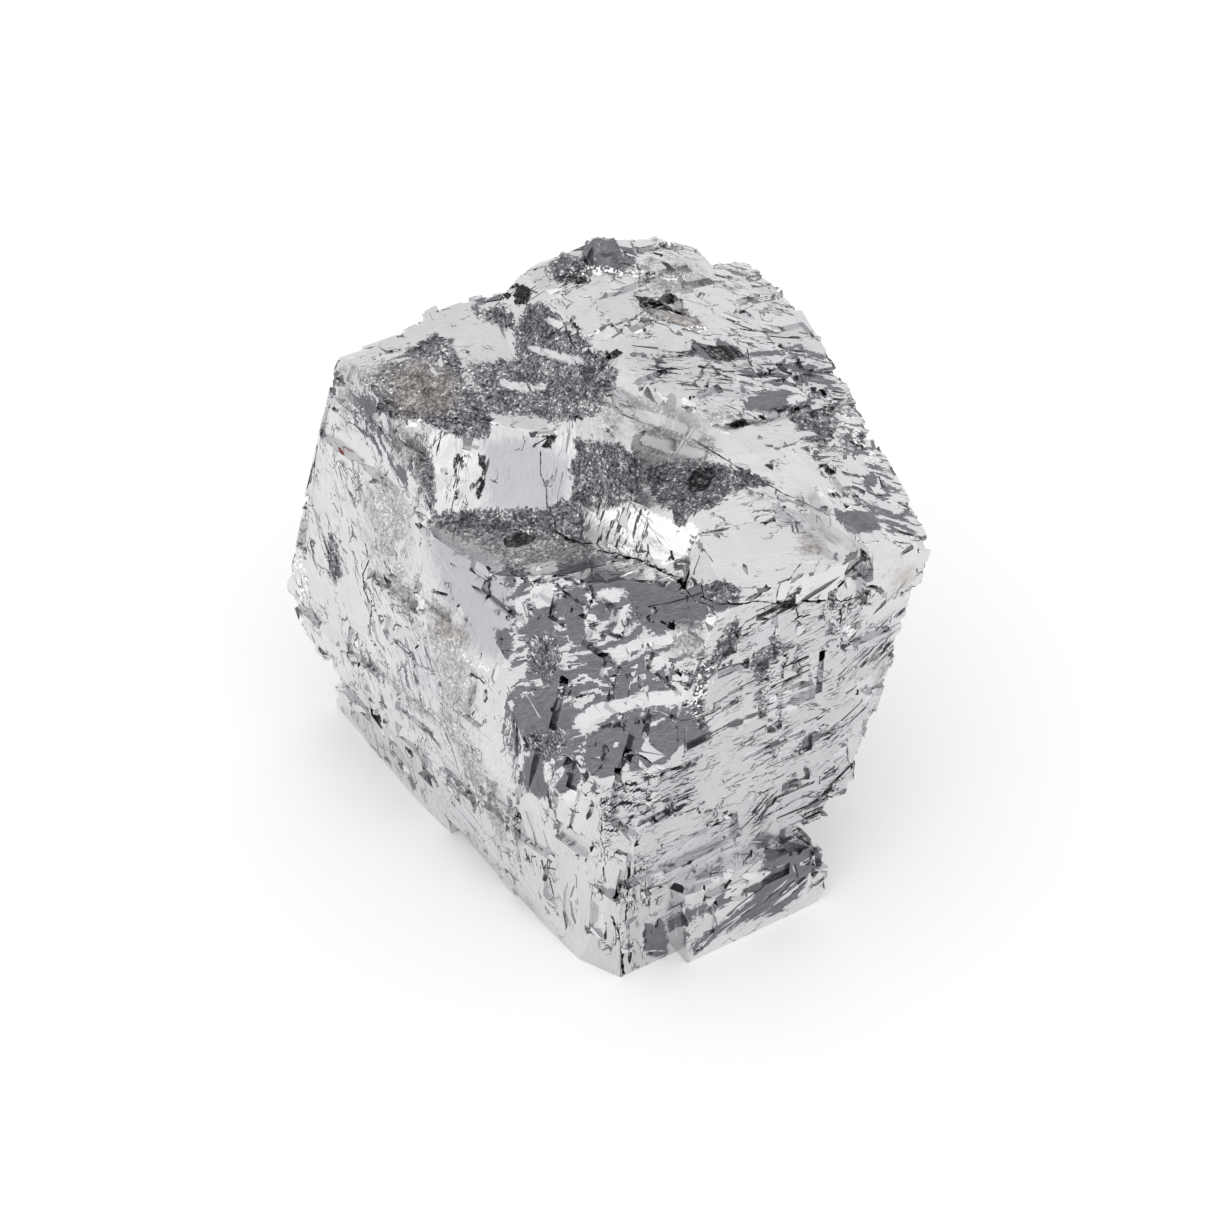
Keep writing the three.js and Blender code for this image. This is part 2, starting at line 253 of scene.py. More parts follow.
        "leftFront": [(430, 528), (500, 556), (520, 600), (500, 660), (470, 650), (440, 600)],
        "leftLow": [(450, 665), (500, 690), (508, 780), (470, 740)],
        "foot": [(576, 872), (612, 880), (612, 970), (580, 950)],
        "footBlock": [(662, 935), (735, 904), (750, 898), (700, 925), (680, 955), (668, 965)],
        "wedgeLight": [(604, 640), (680, 636), (676, 655), (620, 660)],
        "crown": [(546, 290), (600, 282), (632, 300), (640, 330), (600, 320), (560, 306)],
    },
    "soft": {  # fibrous, with pale marks instead of dark ones
        "leftFace": [(280, 380), (345, 385), (420, 440), (430, 530), (455, 640), (480, 780), (560, 930),
                     (400, 800), (280, 640)],
        "bevel": [(700, 540), (745, 492), (790, 476), (845, 492), (860, 520), (800, 530), (740, 540)],
        "rim": [(640, 425), (700, 440), (752, 462), (700, 462), (655, 462), (625, 442)],
        "crown": [(640, 240), (720, 250), (800, 300), (820, 335), (760, 320), (690, 300)],
    },
    "dull": {  # rounded, half polished masses
        "knob": [(580, 244), (596, 235), (618, 235), (636, 246), (636, 264), (616, 274), (586, 270)],
    },
    "paintedGlint": {  # tiny faces that flash: painted glints
        "knobRow": [(562, 268), (600, 266), (644, 270), (690, 276), (688, 281), (640, 279), (600, 275),
                    (562, 276)],
        "rightRow": [(838, 408), (850, 412), (860, 430), (880, 462), (872, 470), (852, 440), (842, 424)],
        "leftSpot": [(408, 420), (424, 420), (424, 430), (408, 430)],
        "stripRow": [(703, 655), (716, 668), (708, 700), (696, 718), (690, 700)],
        "tanRow": [(684, 322), (706, 326), (700, 337), (686, 331)],
        "edgeSpot": [(292, 548), (302, 550), (312, 592), (300, 600), (290, 570)],
        "seamEnd": [(456, 650), (474, 656), (492, 668), (488, 673), (470, 664), (455, 656)],
    },
    "light": {  # clean laths left standing in the dark places
        "lens": [(786, 396), (806, 393), (808, 404), (790, 408)],
        "sliverTwo": [(648, 723), (665, 717), (666, 720), (649, 727)],
        "sliverThree": [(600, 747), (618, 742), (619, 746), (602, 751)],
        "bandOne": [(528, 344), (560, 352), (585, 360), (583, 365), (556, 360), (528, 350)],
        "bandTwo": [(545, 316), (566, 322), (580, 332), (562, 330), (546, 322)],
        "bandThree": [(500, 378), (530, 384), (548, 382), (546, 390), (522, 392), (500, 386)],
        "blockOne": [(523, 566), (545, 562), (558, 568), (553, 581), (530, 583)],
        "blockTwo": [(530, 586), (552, 583), (559, 592), (552, 606), (531, 609)],
        "blockThree": [(584, 593), (606, 587), (624, 590), (620, 602), (590, 604)],
        "blockFour": [(584, 607), (596, 604), (597, 634), (586, 640)],
        "bandCurve": [(572, 722), (590, 706), (640, 694), (692, 688), (694, 700), (640, 708), (598, 718),
                      (580, 734)],
        "middleOne": [(606, 650), (640, 638), (672, 634), (674, 646), (640, 650), (612, 660)],
        "columnOne": [(515, 598), (525, 596), (528, 622), (516, 630)],
        "footOne": [(562, 795), (574, 788), (580, 800), (564, 806)],
        "boxOne": [(543, 763), (552, 761), (551, 784), (544, 785)],
        "blockFive": [(604, 561), (628, 563), (640, 570), (636, 580), (610, 575)],
        "ledgeOne": [(523, 566), (556, 560), (558, 570), (530, 577)],
        "slabUnderOne": [(636, 408), (668, 416), (704, 434), (698, 440), (664, 428), (634, 418)],
        "slabUnderTwo": [(642, 434), (668, 440), (706, 452), (702, 460), (668, 452), (640, 444)],
    },
    "shade": {  # whole faces turned a little away
        "leftFront": [(426, 528), (500, 556), (516, 600), (500, 660), (470, 650), (440, 600)],
        "wall": [(484, 442), (530, 438), (572, 456), (566, 500), (550, 520), (486, 508)],
    },
    "tan": {  # a brown film in the torn places
        "brownPatch": [(395, 372), (425, 362), (455, 378), (452, 412), (410, 415), (392, 400)],
        "brownSeam": [(640, 298), (662, 300), (681, 310), (703, 320), (698, 332), (681, 327), (657, 315)],
        "olive": [(794, 551), (804, 536), (818, 539), (823, 552)],
        "grain": [(896, 572), (912, 568), (913, 582), (903, 588), (895, 584)],
        "seamSpot": [(432, 610), (464, 628), (466, 642), (440, 640)],
    },
    "bright": {  # the one face turned straight to the light, ribbed at its left, painted white as a highlight between the ribs
        "ribbed": [(584, 512), (633, 507), (652, 510), (660, 530), (652, 560), (618, 551), (584, 539)],
    },
    "clear": {  # the same face where it is whole, and shards of it, painted white as a highlight
        "paintedHighlight": [(646, 509), (667, 519), (691, 522), (700, 532), (695, 546), (687, 554), (667, 566),
                   (648, 561), (636, 552), (650, 532)],
        "shardOne": [(622, 562), (633, 560), (631, 574), (624, 577)],
        "shardTwo": [(642, 569), (652, 566), (657, 580), (648, 582)],
    },
    "red": {  # a rust spot
        "rust": [(336, 448), (341, 446), (345, 449), (345, 455), (339, 457)],
    },
}
# These kinds aren't laid on the far sides.
frontOnly = ("bright", "clear", "red", "quiet", "shade")
# The way the strokes run in places, as a slope in pixels: right, then down.
streaks = [
    {"slope": (12, 40), "outline": [(280, 380), (420, 400), (430, 530), (480, 800), (560, 930), (400, 800),
                                    (280, 640)]},
    {"slope": (-8, 40), "outline": [(425, 430), (574, 430), (560, 540), (520, 600), (510, 790), (450, 700),
                                    (430, 540)]},
    {"slope": (40, -10), "outline": [(505, 560), (700, 560), (705, 800), (560, 800), (505, 700)]},
    {"slope": (40, -18), "outline": [(700, 600), (840, 600), (840, 850), (600, 860), (600, 790), (705, 760)]},
    {"slope": (30, -30), "outline": [(840, 560), (930, 560), (910, 700), (840, 800)]},
    {"slope": (26, -28), "outline": [(742, 798), (780, 788), (772, 846), (734, 874)]},
    {"slope": (40, 4), "outline": [(600, 335), (850, 320), (850, 400), (620, 400)]},
    {"slope": (40, 16), "outline": [(600, 400), (750, 400), (860, 490), (830, 520), (620, 440)]},
    {"slope": (40, 12), "outline": [(640, 240), (800, 260), (830, 330), (600, 335), (540, 300)]},
    {"slope": (40, 30), "outline": [(520, 300), (560, 300), (620, 370), (600, 420), (490, 415), (465, 365)]},
    {"slope": (8, -26), "outline": [(560, 500), (700, 505), (700, 570), (560, 560)]},
    {"slope": (-1, 40), "outline": [(560, 850), (650, 850), (650, 985), (560, 985)]},
]
# The far sides have the same kinds of patches: the outlines lie on them again, turned and mirrored.
farSides = [{"turn": 105, "flip": True}, {"turn": 180, "flip": False}, {"turn": 255, "flip": True}]
# The strokes' way on faces across X, Y and Z, where no slope is given.
cleavageRun = np.array([(0.0, 0.42, 1.0), (1.0, 0.0, 0.35), (1.0, -0.35, 0.0)])
farGap = 4.0  # in mm: beyond it a patch has no say
facingLimit = 0.03  # a share: below it the camera sees a spot only edge on


def outlineGap(pixels, outline):
    # How far a pixel is from a closed outline, below zero inside it.
    corners = np.array(outline, float)
    nearest = np.full(len(pixels), np.inf)
    inside = np.zeros(len(pixels), bool)
    for start, end in zip(corners, np.roll(corners, -1, axis=0)):
        side = end - start
        offset = pixels - start
        share = np.clip(offset @ side / (side @ side), 0, 1)
        nearest = np.minimum(nearest, np.linalg.norm(offset - share[:, None] * side, axis=1))
        if side[1] != 0:
            crosses = (start[1] > pixels[:, 1]) != (end[1] > pixels[:, 1])
            inside ^= crosses & (pixels[:, 0] < start[0] + offset[:, 1] * side[0] / side[1])
    return np.where(inside, -nearest, nearest)


def asUnits(vectors):
    return vectors / np.maximum(np.linalg.norm(vectors, axis=1), nearlyZero)[:, None]


def patchPixels(points, normals):
    # Pixels of the frame for each spot, and whether the camera's own side has it.
    pixels = toPixels(points)
    facing = facingEye(points, normals)
    front = facing > facingLimit
    best = np.where(front, np.inf, -np.inf)
    for side in farSides:
        spin = np.array(Matrix.Rotation(math.radians(side["turn"]), 3, "Z"))
        turned = toPixels(points @ spin.T)
        if side["flip"]:
            turned[:, 0] = view["frameSize"] - turned[:, 0]
        score = facingEye(points @ spin.T, normals @ spin.T)
        better = score > best
        pixels[better] = turned[better]
        best = np.maximum(best, score)
    return pixels, front


def facingEye(points, normals):
    away = np.array(viewEye) - points
    return (away * normals).sum(axis=1) / np.linalg.norm(away, axis=1)


def patchGaps(points, normals):
    pixels, front = patchPixels(points, normals)
    gaps = {}
    for kind, outlines in patches.items():
        nearest = np.full(len(points), farGap)
        for outline in outlines.values():
            nearest = np.minimum(nearest, outlineGap(pixels, outline) * pixelSize)
        if kind in frontOnly:
            nearest[~front] = farGap
        gaps[kind] = np.maximum(nearest, -farGap)
    return gaps


def runDirections(points, normals):
    pixels, front = patchPixels(points, normals)
    directions = cleavageRun[np.argmax(np.abs(normals), axis=1)]
    for zone in streaks:
        inside = front & (outlineGap(pixels, zone["outline"]) < 0)
        slope = viewRight * zone["slope"][0] - viewUp * zone["slope"][1]
        directions[inside] = np.cross(normals[inside], np.array(slope.cross(viewBack)))
    return asUnits(directions - normals * (directions * normals).sum(axis=1)[:, None])


# Fine breakage on the lump: how many pieces of each kind, and their sizes in mm. A reach is how far a piece
# goes below and above the surface, in depths. Shares are what is kept of the length, width and depth.
lumpShape = {
    "seed": 11,
    "footHeight": 0.5,
    "plates": {"count": 300, "length": (0.9, 4.0), "width": (0.2, 0.9), "depth": (0.04, 0.1),
               "reach": (-2.0, 1.0), "liesFlat": True},
    "chips": [
        {"count": 460, "length": (1.4, 5.0), "width": (0.25, 1.0), "depth": (0.06, 0.15),
         "reach": (-1.0, 3.0), "liesFlat": False},
        {"count": 800, "length": (0.6, 2.4), "width": (0.1, 0.4), "depth": (0.06, 0.12),
         "reach": (-1.0, 3.0), "liesFlat": False},
    ],
    "alongShare": 0.8,
    "crossLength": 0.5,
    "quietShare": 0.1,
    "softShare": 0.25,
    "frays": {
        "length": (0.6, 2.5), "width": (0.25, 0.75), "depth": (0.14, 0.46), "turn": 0.35, "flattest": 0.9,
        "outer": {"spacing": 2.6, "reach": (-1.0, 2.0), "shares": (1.0, 1.0, 1.0)},
        "inner": {"spacing": 7.0, "reach": (-1.4, 0.6), "shares": (1.0, 0.8, 0.5)},
    },
    "rubble": {"tries": 14000, "most": 1350, "size": (0.16, 0.46), "sunk": 0.3, "inside": 0.2,
               "spin": (0.2, 1.4)},
    "samePlane": 0.9996,
    "refine": {"rounds": 2, "shortest": 0.6, "error": 0.1, "near": 1.0,
               "sharpRounds": 2, "sharpLength": 1.25, "sharpTurn": 0.94},
    "waves": {"size": 6.0, "reach": 0.45, "foot": 2.0},
}
# Outlines of the broken pieces, on a square one unit wide: the length runs across.
pieceOutlines = {
    "needle": [(-0.5, -0.1), (-0.1, -0.4), (0.3, -0.5), (0.5, 0.1), (0.1, 0.5), (-0.3, 0.3)],
    "wedge": [(-0.5, -0.5), (0.1, -0.3), (0.5, -0.4), (0.4, -0.1), (-0.2, 0.2), (-0.5, 0.5)],
    "stairs": [(-0.5, -0.5), (0.0, -0.5), (0.06, -0.1), (0.4, -0.16), (0.5, 0.4), (0.1, 0.5), (0.05, 0.16),
               (-0.42, 0.1)],
    "hook": [(-0.5, -0.2), (0.3, -0.5), (0.5, -0.3), (0.46, 0.5), (0.34, 0.42), (0.26, -0.1), (-0.46, 0.1)],
    "lens": [(-0.5, 0.0), (-0.2, -0.42), (0.2, -0.5), (0.5, -0.1), (0.25, 0.4), (-0.15, 0.5)],
    "torn": [(-0.5, -0.3), (-0.16, -0.5), (-0.1, -0.2), (0.2, -0.36), (0.5, -0.1), (0.3, 0.1), (0.36, 0.5),
             (0.0, 0.24), (-0.3, 0.5)],
}
# The cracks: width and depth in mm, and the way they run, in pixels of the frame.
cracks = {
    "main": {"width": 0.22, "depth": 0.7, "run": [
        (555, 531), (567, 538), (583, 543), (591, 543), (600, 550), (620, 555), (640, 560), (654, 566),
        (668, 573), (678, 580), (684, 588)]},
    "right": {"width": 0.13, "depth": 0.5, "run": [
        (702, 586), (704, 597), (721, 603), (741, 603), (758, 601), (779, 603), (801, 602), (818, 601),
        (840, 601), (857, 597)]},
    "join": {"width": 0.12, "depth": 0.4, "run": [(684, 584), (690, 593), (696, 601), (712, 607)]},
    "wallHairline": {"width": 0.1, "depth": 0.25, "run": [
        (541, 455), (541, 475), (547, 490), (547, 512), (555, 516), (555, 531)]},
    "bevelHairline": {"width": 0.09, "depth": 0.25, "run": [(776, 604), (779, 583), (789, 579), (800, 566)]},
    "leftHairline": {"width": 0.12, "depth": 0.3, "run": [
        (366, 545), (369, 560), (364, 575), (364, 590), (371, 604), (370, 623)]},
    "frontFissure": {"width": 0.2, "depth": 0.6, "run": [(612, 917), (618, 931), (622, 957), (624, 974)]},
    "footFissure": {"width": 0.14, "depth": 0.4, "run": [(625, 862), (629, 885), (627, 905), (626, 925)]},
    "slabSeam": {"width": 0.1, "depth": 0.2, "run": [(694, 440), (745, 470), (800, 500), (828, 515)]},
}
# The pieces that cut a crack: the step is in pixels, the longest one in mm, and the rest are shares.
crackPiece = {
    "outlines": ("needle", "wedge", "lens", "torn"),
    "step": 8,
    "longest": 1.2,
    "overlap": 1.7,
    "width": (0.7, 1.6),
    "shift": (-0.4, 0.4),
    "reach": (-1.0, 1.0),
}
# The dark rounded lumps on the crown: middle in pixels, and half sizes in mm.
knob = {
    "lumps": [((570, 264), (1.3, 1.1, 0.9)), ((603, 254), (1.9, 1.6, 1.3)), ((621, 264), (1.2, 1.0, 0.8)),
              ((556, 272), (0.8, 0.7, 0.5)), ((588, 272), (1.0, 0.8, 0.6)), ((640, 270), (0.9, 0.7, 0.5))],
    "turn": 1.3,
    "roughDepth": 1.2,
    "roughSize": 0.7,
    "sunk": 0.3,
}


def chooseOnly(piece):
    bpy.ops.object.select_all(action="DESELECT")
    piece.select_set(True)
    bpy.context.view_layer.objects.active = piece


def combine(piece, cutter, way):
    chooseOnly(piece)
    bpy.ops.object.modifier_add(type="BOOLEAN")
    step = piece.modifiers[-1]
    step.operation = way
    step.solver = "MANIFOLD"
    step.object = cutter
    bpy.ops.object.modifier_apply(modifier=step.name)
    bpy.data.objects.remove(cutter)


def modelPieces():
    # Each outline is drawn flat and extruded once, and every broken piece is a copy of one of them.
    shapes = {"cube": [(-0.5, -0.5), (0.5, -0.5), (0.5, 0.5), (-0.5, 0.5)], **pieceOutlines}
    models = {}
    for name, outline in shapes.items():
        bpy.ops.object.select_all(action="DESELECT")
        bpy.ops.mesh.primitive_circle_add(vertices=len(outline), radius=1, fill_type="NGON")
        flat = bpy.context.object
        for vertex, (across, up) in zip(flat.data.vertices, outline):
            vertex.co = (across, up, -0.5)
        bpy.ops.object.mode_set(mode="EDIT")
        bpy.ops.mesh.select_all(action="SELECT")
        bpy.ops.mesh.extrude_region_move(TRANSFORM_OT_translate={"value": (0, 0, 1)})
        bpy.ops.mesh.select_all(action="SELECT")
        bpy.ops.mesh.normals_make_consistent(inside=False)
        bpy.ops.object.mode_set(mode="OBJECT")
        corners = np.array([vertex.co[:] for vertex in flat.data.vertices])
        models[name] = (corners, [face.vertices[:] for face in flat.data.polygons])
        bpy.data.objects.remove(flat)
    return models


def pieceMesh(frames):
    # The copies of one batch, as one mesh.
    places, faces = [], []
    for name, matrix in frames:
        corners, sides = models[name]
        turned = np.array(matrix)
        faces += [[vertex + len(places) for vertex in side] for side in sides]
        places += (corners @ turned[:3, :3].T + turned[:3, 3]).tolist()
    mesh = bpy.data.meshes.new("pieces")
    mesh.from_pydata(places, [], faces)
    batch = bpy.data.objects.new("pieces", mesh)
    bpy.context.scene.collection.objects.link(batch)
    return batch


def readValues(items, name, width=1, kind=np.float32):
    # One value of each item of a mesh, or a row of them.
    values = np.zeros(len(items) * width, kind)
    items.foreach_get(name, values)
    return values.reshape(-1, width) if width > 1 else values


def readMesh(mesh):
    # Places of the points, points of the corners, and corners of each face.
    corners = readValues(mesh.loops, "vertex_index", kind=np.int32)
    return readValues(mesh.vertices, "co", 3), corners, readValues(mesh.polygons, "loop_total", kind=np.int32)


def settleOrder(piece):
    # A boolean step may hand back the same faces in another order, and the draws depend on it, so the
    # points and faces are put in the order of their places.
    places, corners, counts = readMesh(piece.data)
    rounded = np.round(places / mm, 3)
    order = np.lexsort((*places.T, *rounded.T))
    isNew = np.any(np.diff(places[order], axis=0, prepend=np.inf) != 0, axis=1)
    rank = np.zeros(len(places), int)
    rank[order] = np.cumsum(isNew)
    faces = []
    for face in np.split(corners, np.cumsum(counts)[:-1]):
        ranks = rank[face].tolist()
        first = ranks.index(min(ranks))
        faces.append((ranks[first:] + ranks[:first], np.roll(face, -first).tolist()))
    faces.sort(key=lambda both: both[0])
    used = {}
    for _, face in faces:
        for point in face:
            used.setdefault(point, len(used))
    settled = bpy.data.meshes.new("settled")
    faces = [[used[point] for point in face] for _, face in faces]
    settled.from_pydata(places[list(used)].tolist(), [], faces)
    piece.data = settled


def combinePieces(piece, frames, way):
    # Pieces that touch each other go in different batches, because one cutter may not overlap itself.
    unit = np.array([(x, y, z, 1) for x in (-0.5, 0.5) for y in (-0.5, 0.5) for z in (-0.5, 0.5)])
    corners = np.einsum("nij,kj->nki", np.array([np.array(matrix) for _, matrix in frames]), unit)[:, :, :3]
    low, high = corners.min(axis=1), corners.max(axis=1)
    batches = []
    for index in range(len(frames)):
        for batch in batches:
            if not np.any(np.all((low[batch] < high[index]) & (high[batch] > low[index]), axis=1)):
                batch.append(index)
                break
        else:
            batches.append([index])
    for batch in batches:
        combine(piece, pieceMesh([frames[index] for index in batch]), way)
    settleOrder(piece)


def scatter(piece, count, draw):
    # Spots spread evenly over the surface, with the way it faces there.
    mesh = piece.data
    mesh.calc_loop_triangles()
    triangles = readValues(mesh.loop_triangles, "vertices", 3, np.int32)
    a, b, c = readMesh(mesh)[0][triangles].transpose(1, 0, 2).astype(float)
    across = np.cross(b - a, c - a)
    area = np.linalg.norm(across, axis=1)
    picked = draw.choice(len(area), count, p=area / area.sum())
    shares = draw.random((count, 2))
    shares = np.where(shares.sum(axis=1)[:, None] > 1, 1 - shares, shares)
    a, b, c = a[picked], b[picked], c[picked]
    spots = a + (b - a) * shares[:, :1] + (c - a) * shares[:, 1:]
    return spots, across[picked] / area[picked][:, None]


def drawSize(sizes, draw):
    return [draw.uniform(*sizes[name]) * mm for name in ("length", "width", "depth")]


def stepPieces(piece, sizes, draw):
    # Broken pieces along the strokes' way.
    spots, normals = scatter(piece, sizes["count"], draw)
    gaps = patchGaps(spots, normals)
    directions = runDirections(spots, normals)
    tree = BVHTree.FromObject(piece, bpy.context.evaluated_depsgraph_get())
    frames = []
    for index, (spot, normal) in enumerate(zip(spots, normals)):
        length, width, depth = drawSize(sizes, draw)
        isAlong, isKept, isTurned = draw.random(3)
        name = draw.choice(list(pieceOutlines))
        if gaps["quiet"][index] < 0 and isKept > lumpShape["quietShare"]:
            continue
        if gaps["soft"][index] < 0 and isKept > lumpShape["softShare"]:
            continue
        if gaps["grainy"][index] < 0 or spot[2] < lumpShape["footHeight"] * mm + length / 2:
            continue
        spot, normal, along = Vector(spot), Vector(normal), Vector(directions[index])
        side = normal.cross(along)
        if isAlong > lumpShape["alongShare"]:
            along, side = side, -along
            length *= lumpShape["crossLength"]
        if isTurned > 0.5:
            along, side = -along, -side
        ends = [spot + along * length * a / 2 + side * width * b / 2 for a in (-1, 1) for b in (-1, 1)]
        if sizes["liesFlat"] and any(tree.find_nearest(end)[3] > depth / 2 for end in ends):
            continue  # a plate may not stick out past an edge
        size = (length, width, depth)
        frames.append((name, pieceFrame(spot, along, side, normal, size, sizes["reach"])))
    return frames


def pieceFrame(spot, along, side, normal, size, reach):
    low, high = reach
    middle = spot + normal * size[2] * (low + high) / 2
    turned = Matrix((along * size[0], side * size[1], normal * size[2] * (high - low))).transposed()
    return Matrix.Translation(middle) @ turned.to_4x4()


def frayPieces(piece, draw, isOuter):
    # Small bites along the sharp edges, or small fills along the inner ones, so that no step runs straight.
    frays = lumpShape["frays"]
    kind = frays["outer" if isOuter else "inner"]
    tree = BVHTree.FromObject(piece, bpy.context.evaluated_depsgraph_get())
    shape = bmesh.new()
    shape.from_mesh(piece.data)
    shape.normal_update()
    frames = []
    for edge in shape.edges:
        if len(edge.link_faces) != 2 or edge.is_convex != isOuter:
            continue
        first, second = (face.normal for face in edge.link_faces)
        if first.dot(second) > frays["flattest"]:
            continue
        for _ in range(int(edge.calc_length() / (kind["spacing"] * mm) + draw.random())):
            length, width, depth = drawSize(frays, draw)
            name = draw.choice(list(pieceOutlines))
            share, turned = draw.random(), draw.uniform(-1, 1) * frays["turn"]
            start, end = (vertex.co for vertex in edge.verts)
            spot = start + (end - start) * share
            if spot.z < lumpShape["footHeight"] * mm + length / 2:
                continue
            normal = (first + second).normalized()
            along = Matrix.Rotation(turned, 3, normal) @ (end - start).normalized()
            side = normal.cross(along)
            tips = [spot + along * length * half for half in (-0.5, 0.5)]
            if not isOuter and any(tree.find_nearest(tip)[3] >= depth / 2 for tip in tips):
                continue  # a fill may not stick out past the end of its edge
            size = [part * share for part, share in zip((length, width, depth), kind["shares"])]
            frames.append((name, pieceFrame(spot, along, side, normal, size, kind["reach"])))
    shape.free()
    return frames


def rubblePieces(piece, draw):
    # Tiny cleavage cubes that stand at all angles in the torn places.
    rubble = lumpShape["rubble"]
    spots, normals = scatter(piece, rubble["tries"], draw)
    gaps = patchGaps(spots, normals)
    frames = []
    for index in np.flatnonzero((gaps["grainy"] < -rubble["inside"]) & (gaps["paintedPitShade"] > 0))[:rubble["most"]]:
        sizes = draw.uniform(*rubble["size"], 3) * mm
        axis = Vector(draw.normal(size=3)).normalized()
        spin = Matrix.Rotation(draw.uniform(*rubble["spin"]), 4, axis)
        middle = Vector(spots[index]) - Vector(normals[index]) * sizes.mean() * rubble["sunk"]
        if middle.z < lumpShape["footHeight"] * mm + sizes.max():
            continue
        frames.append(("cube", Matrix.Translation(middle) @ spin @ Matrix.Diagonal((*sizes, 1))))
    return frames


def crackPieces(tree, crack, draw):
    frames = []
    for start, end in zip(crack["run"], crack["run"][1:]):
        steps = max(1, round(math.dist(start, end) / crackPiece["step"]))
        spots = [np.array(start) + (np.array(end) - start) * k / steps for k in range(steps + 1)]
        for first, second in zip(spots, spots[1:]):
            widthShare, shift = draw.uniform(*crackPiece["width"]), draw.uniform(*crackPiece["shift"])
            name = draw.choice(crackPiece["outlines"])
            a, normalA = pixelHit(tree, *first)
            b, normalB = pixelHit(tree, *second)
            if a is None or b is None or (b - a).length > crackPiece["longest"] * mm:
                continue
            normal = (normalA + normalB).normalized()
            side = normal.cross(b - a).normalized()
            length, width = (b - a).length * crackPiece["overlap"], crack["width"] * widthShare * mm
            size = (length, width, crack["depth"] * mm)
            middle = (a + b) / 2 + side * crack["width"] * shift * mm
            along = side.cross(normal)
            frames.append((name, pieceFrame(middle, along, side, normal, size, crackPiece["reach"])))
    return frames


def addKnob(lump, tree):
    for index, ((across, down), halves) in enumerate(knob["lumps"]):
        place, normal = pixelHit(tree, across, down)
        if place is None:
            continue
        bpy.ops.object.select_all(action="DESELECT")
        bpy.ops.mesh.primitive_ico_sphere_add(subdivisions=3, radius=mm)
        ball = bpy.context.object
        ball.data.transform(Matrix.Rotation(index * knob["turn"], 4, "Z") @ Matrix.Diagonal((*halves, 1)))
        clouds = bpy.data.textures.new("knobClouds", "CLOUDS")
        clouds.noise_scale = knob["roughSize"] * mm
        bpy.ops.object.modifier_add(type="DISPLACE")
        ball.modifiers[-1].texture = clouds
        ball.modifiers[-1].strength = knob["roughDepth"] * mm
        ball.modifiers[-1].mid_level = 0.5
        bpy.ops.object.modifier_apply(modifier=ball.modifiers[-1].name)
        ball.data.transform(Matrix.Translation(place - normal * halves[2] * knob["sunk"] * mm))
        combine(lump, ball, "UNION")


def dropCrumbs(lump):
    # Only the lump itself stays, not what the cuts set free.
    shape = bmesh.new()
    shape.from_mesh(lump.data)
    seen = set()
    groups = []
    for vertex in shape.verts:
        if vertex in seen:
            continue
        group, toVisit = [], [vertex]
        seen.add(vertex)
        while toVisit:
            here = toVisit.pop()
            group.append(here)
            for edge in here.link_edges:
                other = edge.other_vert(here)
                if other not in seen:
                    seen.add(other)
                    toVisit.append(other)
        groups.append(group)
    groups.sort(key=len)
    for group in groups[:-1]:
        bmesh.ops.delete(shape, geom=group, context="VERTS")
    shape.to_mesh(lump.data)
    shape.free()


def makeLump():
    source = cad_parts["galena"]
    lump = bpy.data.objects.new("galenaLump", source.data.copy())
    bpy.context.scene.collection.objects.link(lump)
    chooseOnly(lump)
    bpy.ops.object.mode_set(mode="EDIT")
    bpy.ops.mesh.select_all(action="SELECT")
    bpy.ops.mesh.remove_doubles(threshold=1e-6)
    bpy.ops.object.mode_set(mode="OBJECT")
    settleOrder(lump)
    draw = np.random.default_rng(lumpShape["seed"])
    tree = BVHTree.FromObject(lump, bpy.context.evaluated_depsgraph_get())
    inner, outer = frayPieces(lump, draw, False), frayPieces(lump, draw, True)
    for crack in cracks.values():
        combinePieces(lump, crackPieces(tree, crack, draw), "DIFFERENCE")
    addKnob(lump, tree)
    combinePieces(lump, inner, "UNION")
    combinePieces(lump, outer, "DIFFERENCE")
    combinePieces(lump, stepPieces(lump, lumpShape["plates"], draw), "UNION")
    for family in lumpShape["chips"]:
        combinePieces(lump, stepPieces(lump, family, draw), "DIFFERENCE")
    combinePieces(lump, rubblePieces(lump, draw), "UNION")
    dropCrumbs(lump)
    print("pieces:", len(inner), "fills,", len(outer), "bites at the edges")
    print("lump broken:", len(lump.data.polygons), "faces")
    return lump


def planeRegions(shape):
    # Faces that lie in one plane and touch are one cleavage face, with one area and one width.
    shape.faces.index_update()
    region = np.full(len(shape.faces), -1)
    areas, widths = [], []
    for face in shape.faces:
        if region[face.index] >= 0:
            continue
        region[face.index] = len(areas)
        toVisit, area, border = [face], 0.0, 0.0
        while toVisit:
            here = toVisit.pop()
            area += here.calc_area()
            for edge in here.edges:
                others = [other for other in edge.link_faces if other is not here]
                isSame = others and others[0].normal.dot(face.normal) > lumpShape["samePlane"]
                if not isSame:
                    border += edge.calc_length()
                elif region[others[0].index] < 0:
                    region[others[0].index] = len(areas)
                    toVisit.append(others[0])
        areas.append(area / mm ** 2)
        widths.append(2 * area / max(border, nearlyZero) / mm)
    return region, np.array(areas), np.array(widths)


# How bright a cleavage face is painted, as a share of the base colour: painted shade and painted glints.
# Narrow ones are often turned away, so many of them are painted dark as shade.
paintedPlaneShades = {
    "wide": (0.9, 1.03),
    "dark": (0.22, 0.75),
    "narrowWidth": 0.1,
    "wideWidth": 0.36,
    "darkShare": 0.6,
    "paintedGlintShare": 0.02,
    "paintedGlint": 1.2,
    "paintedGlintNarrowness": 0.5,
    "softened": 0.4,
    "seedReach": 40,
}


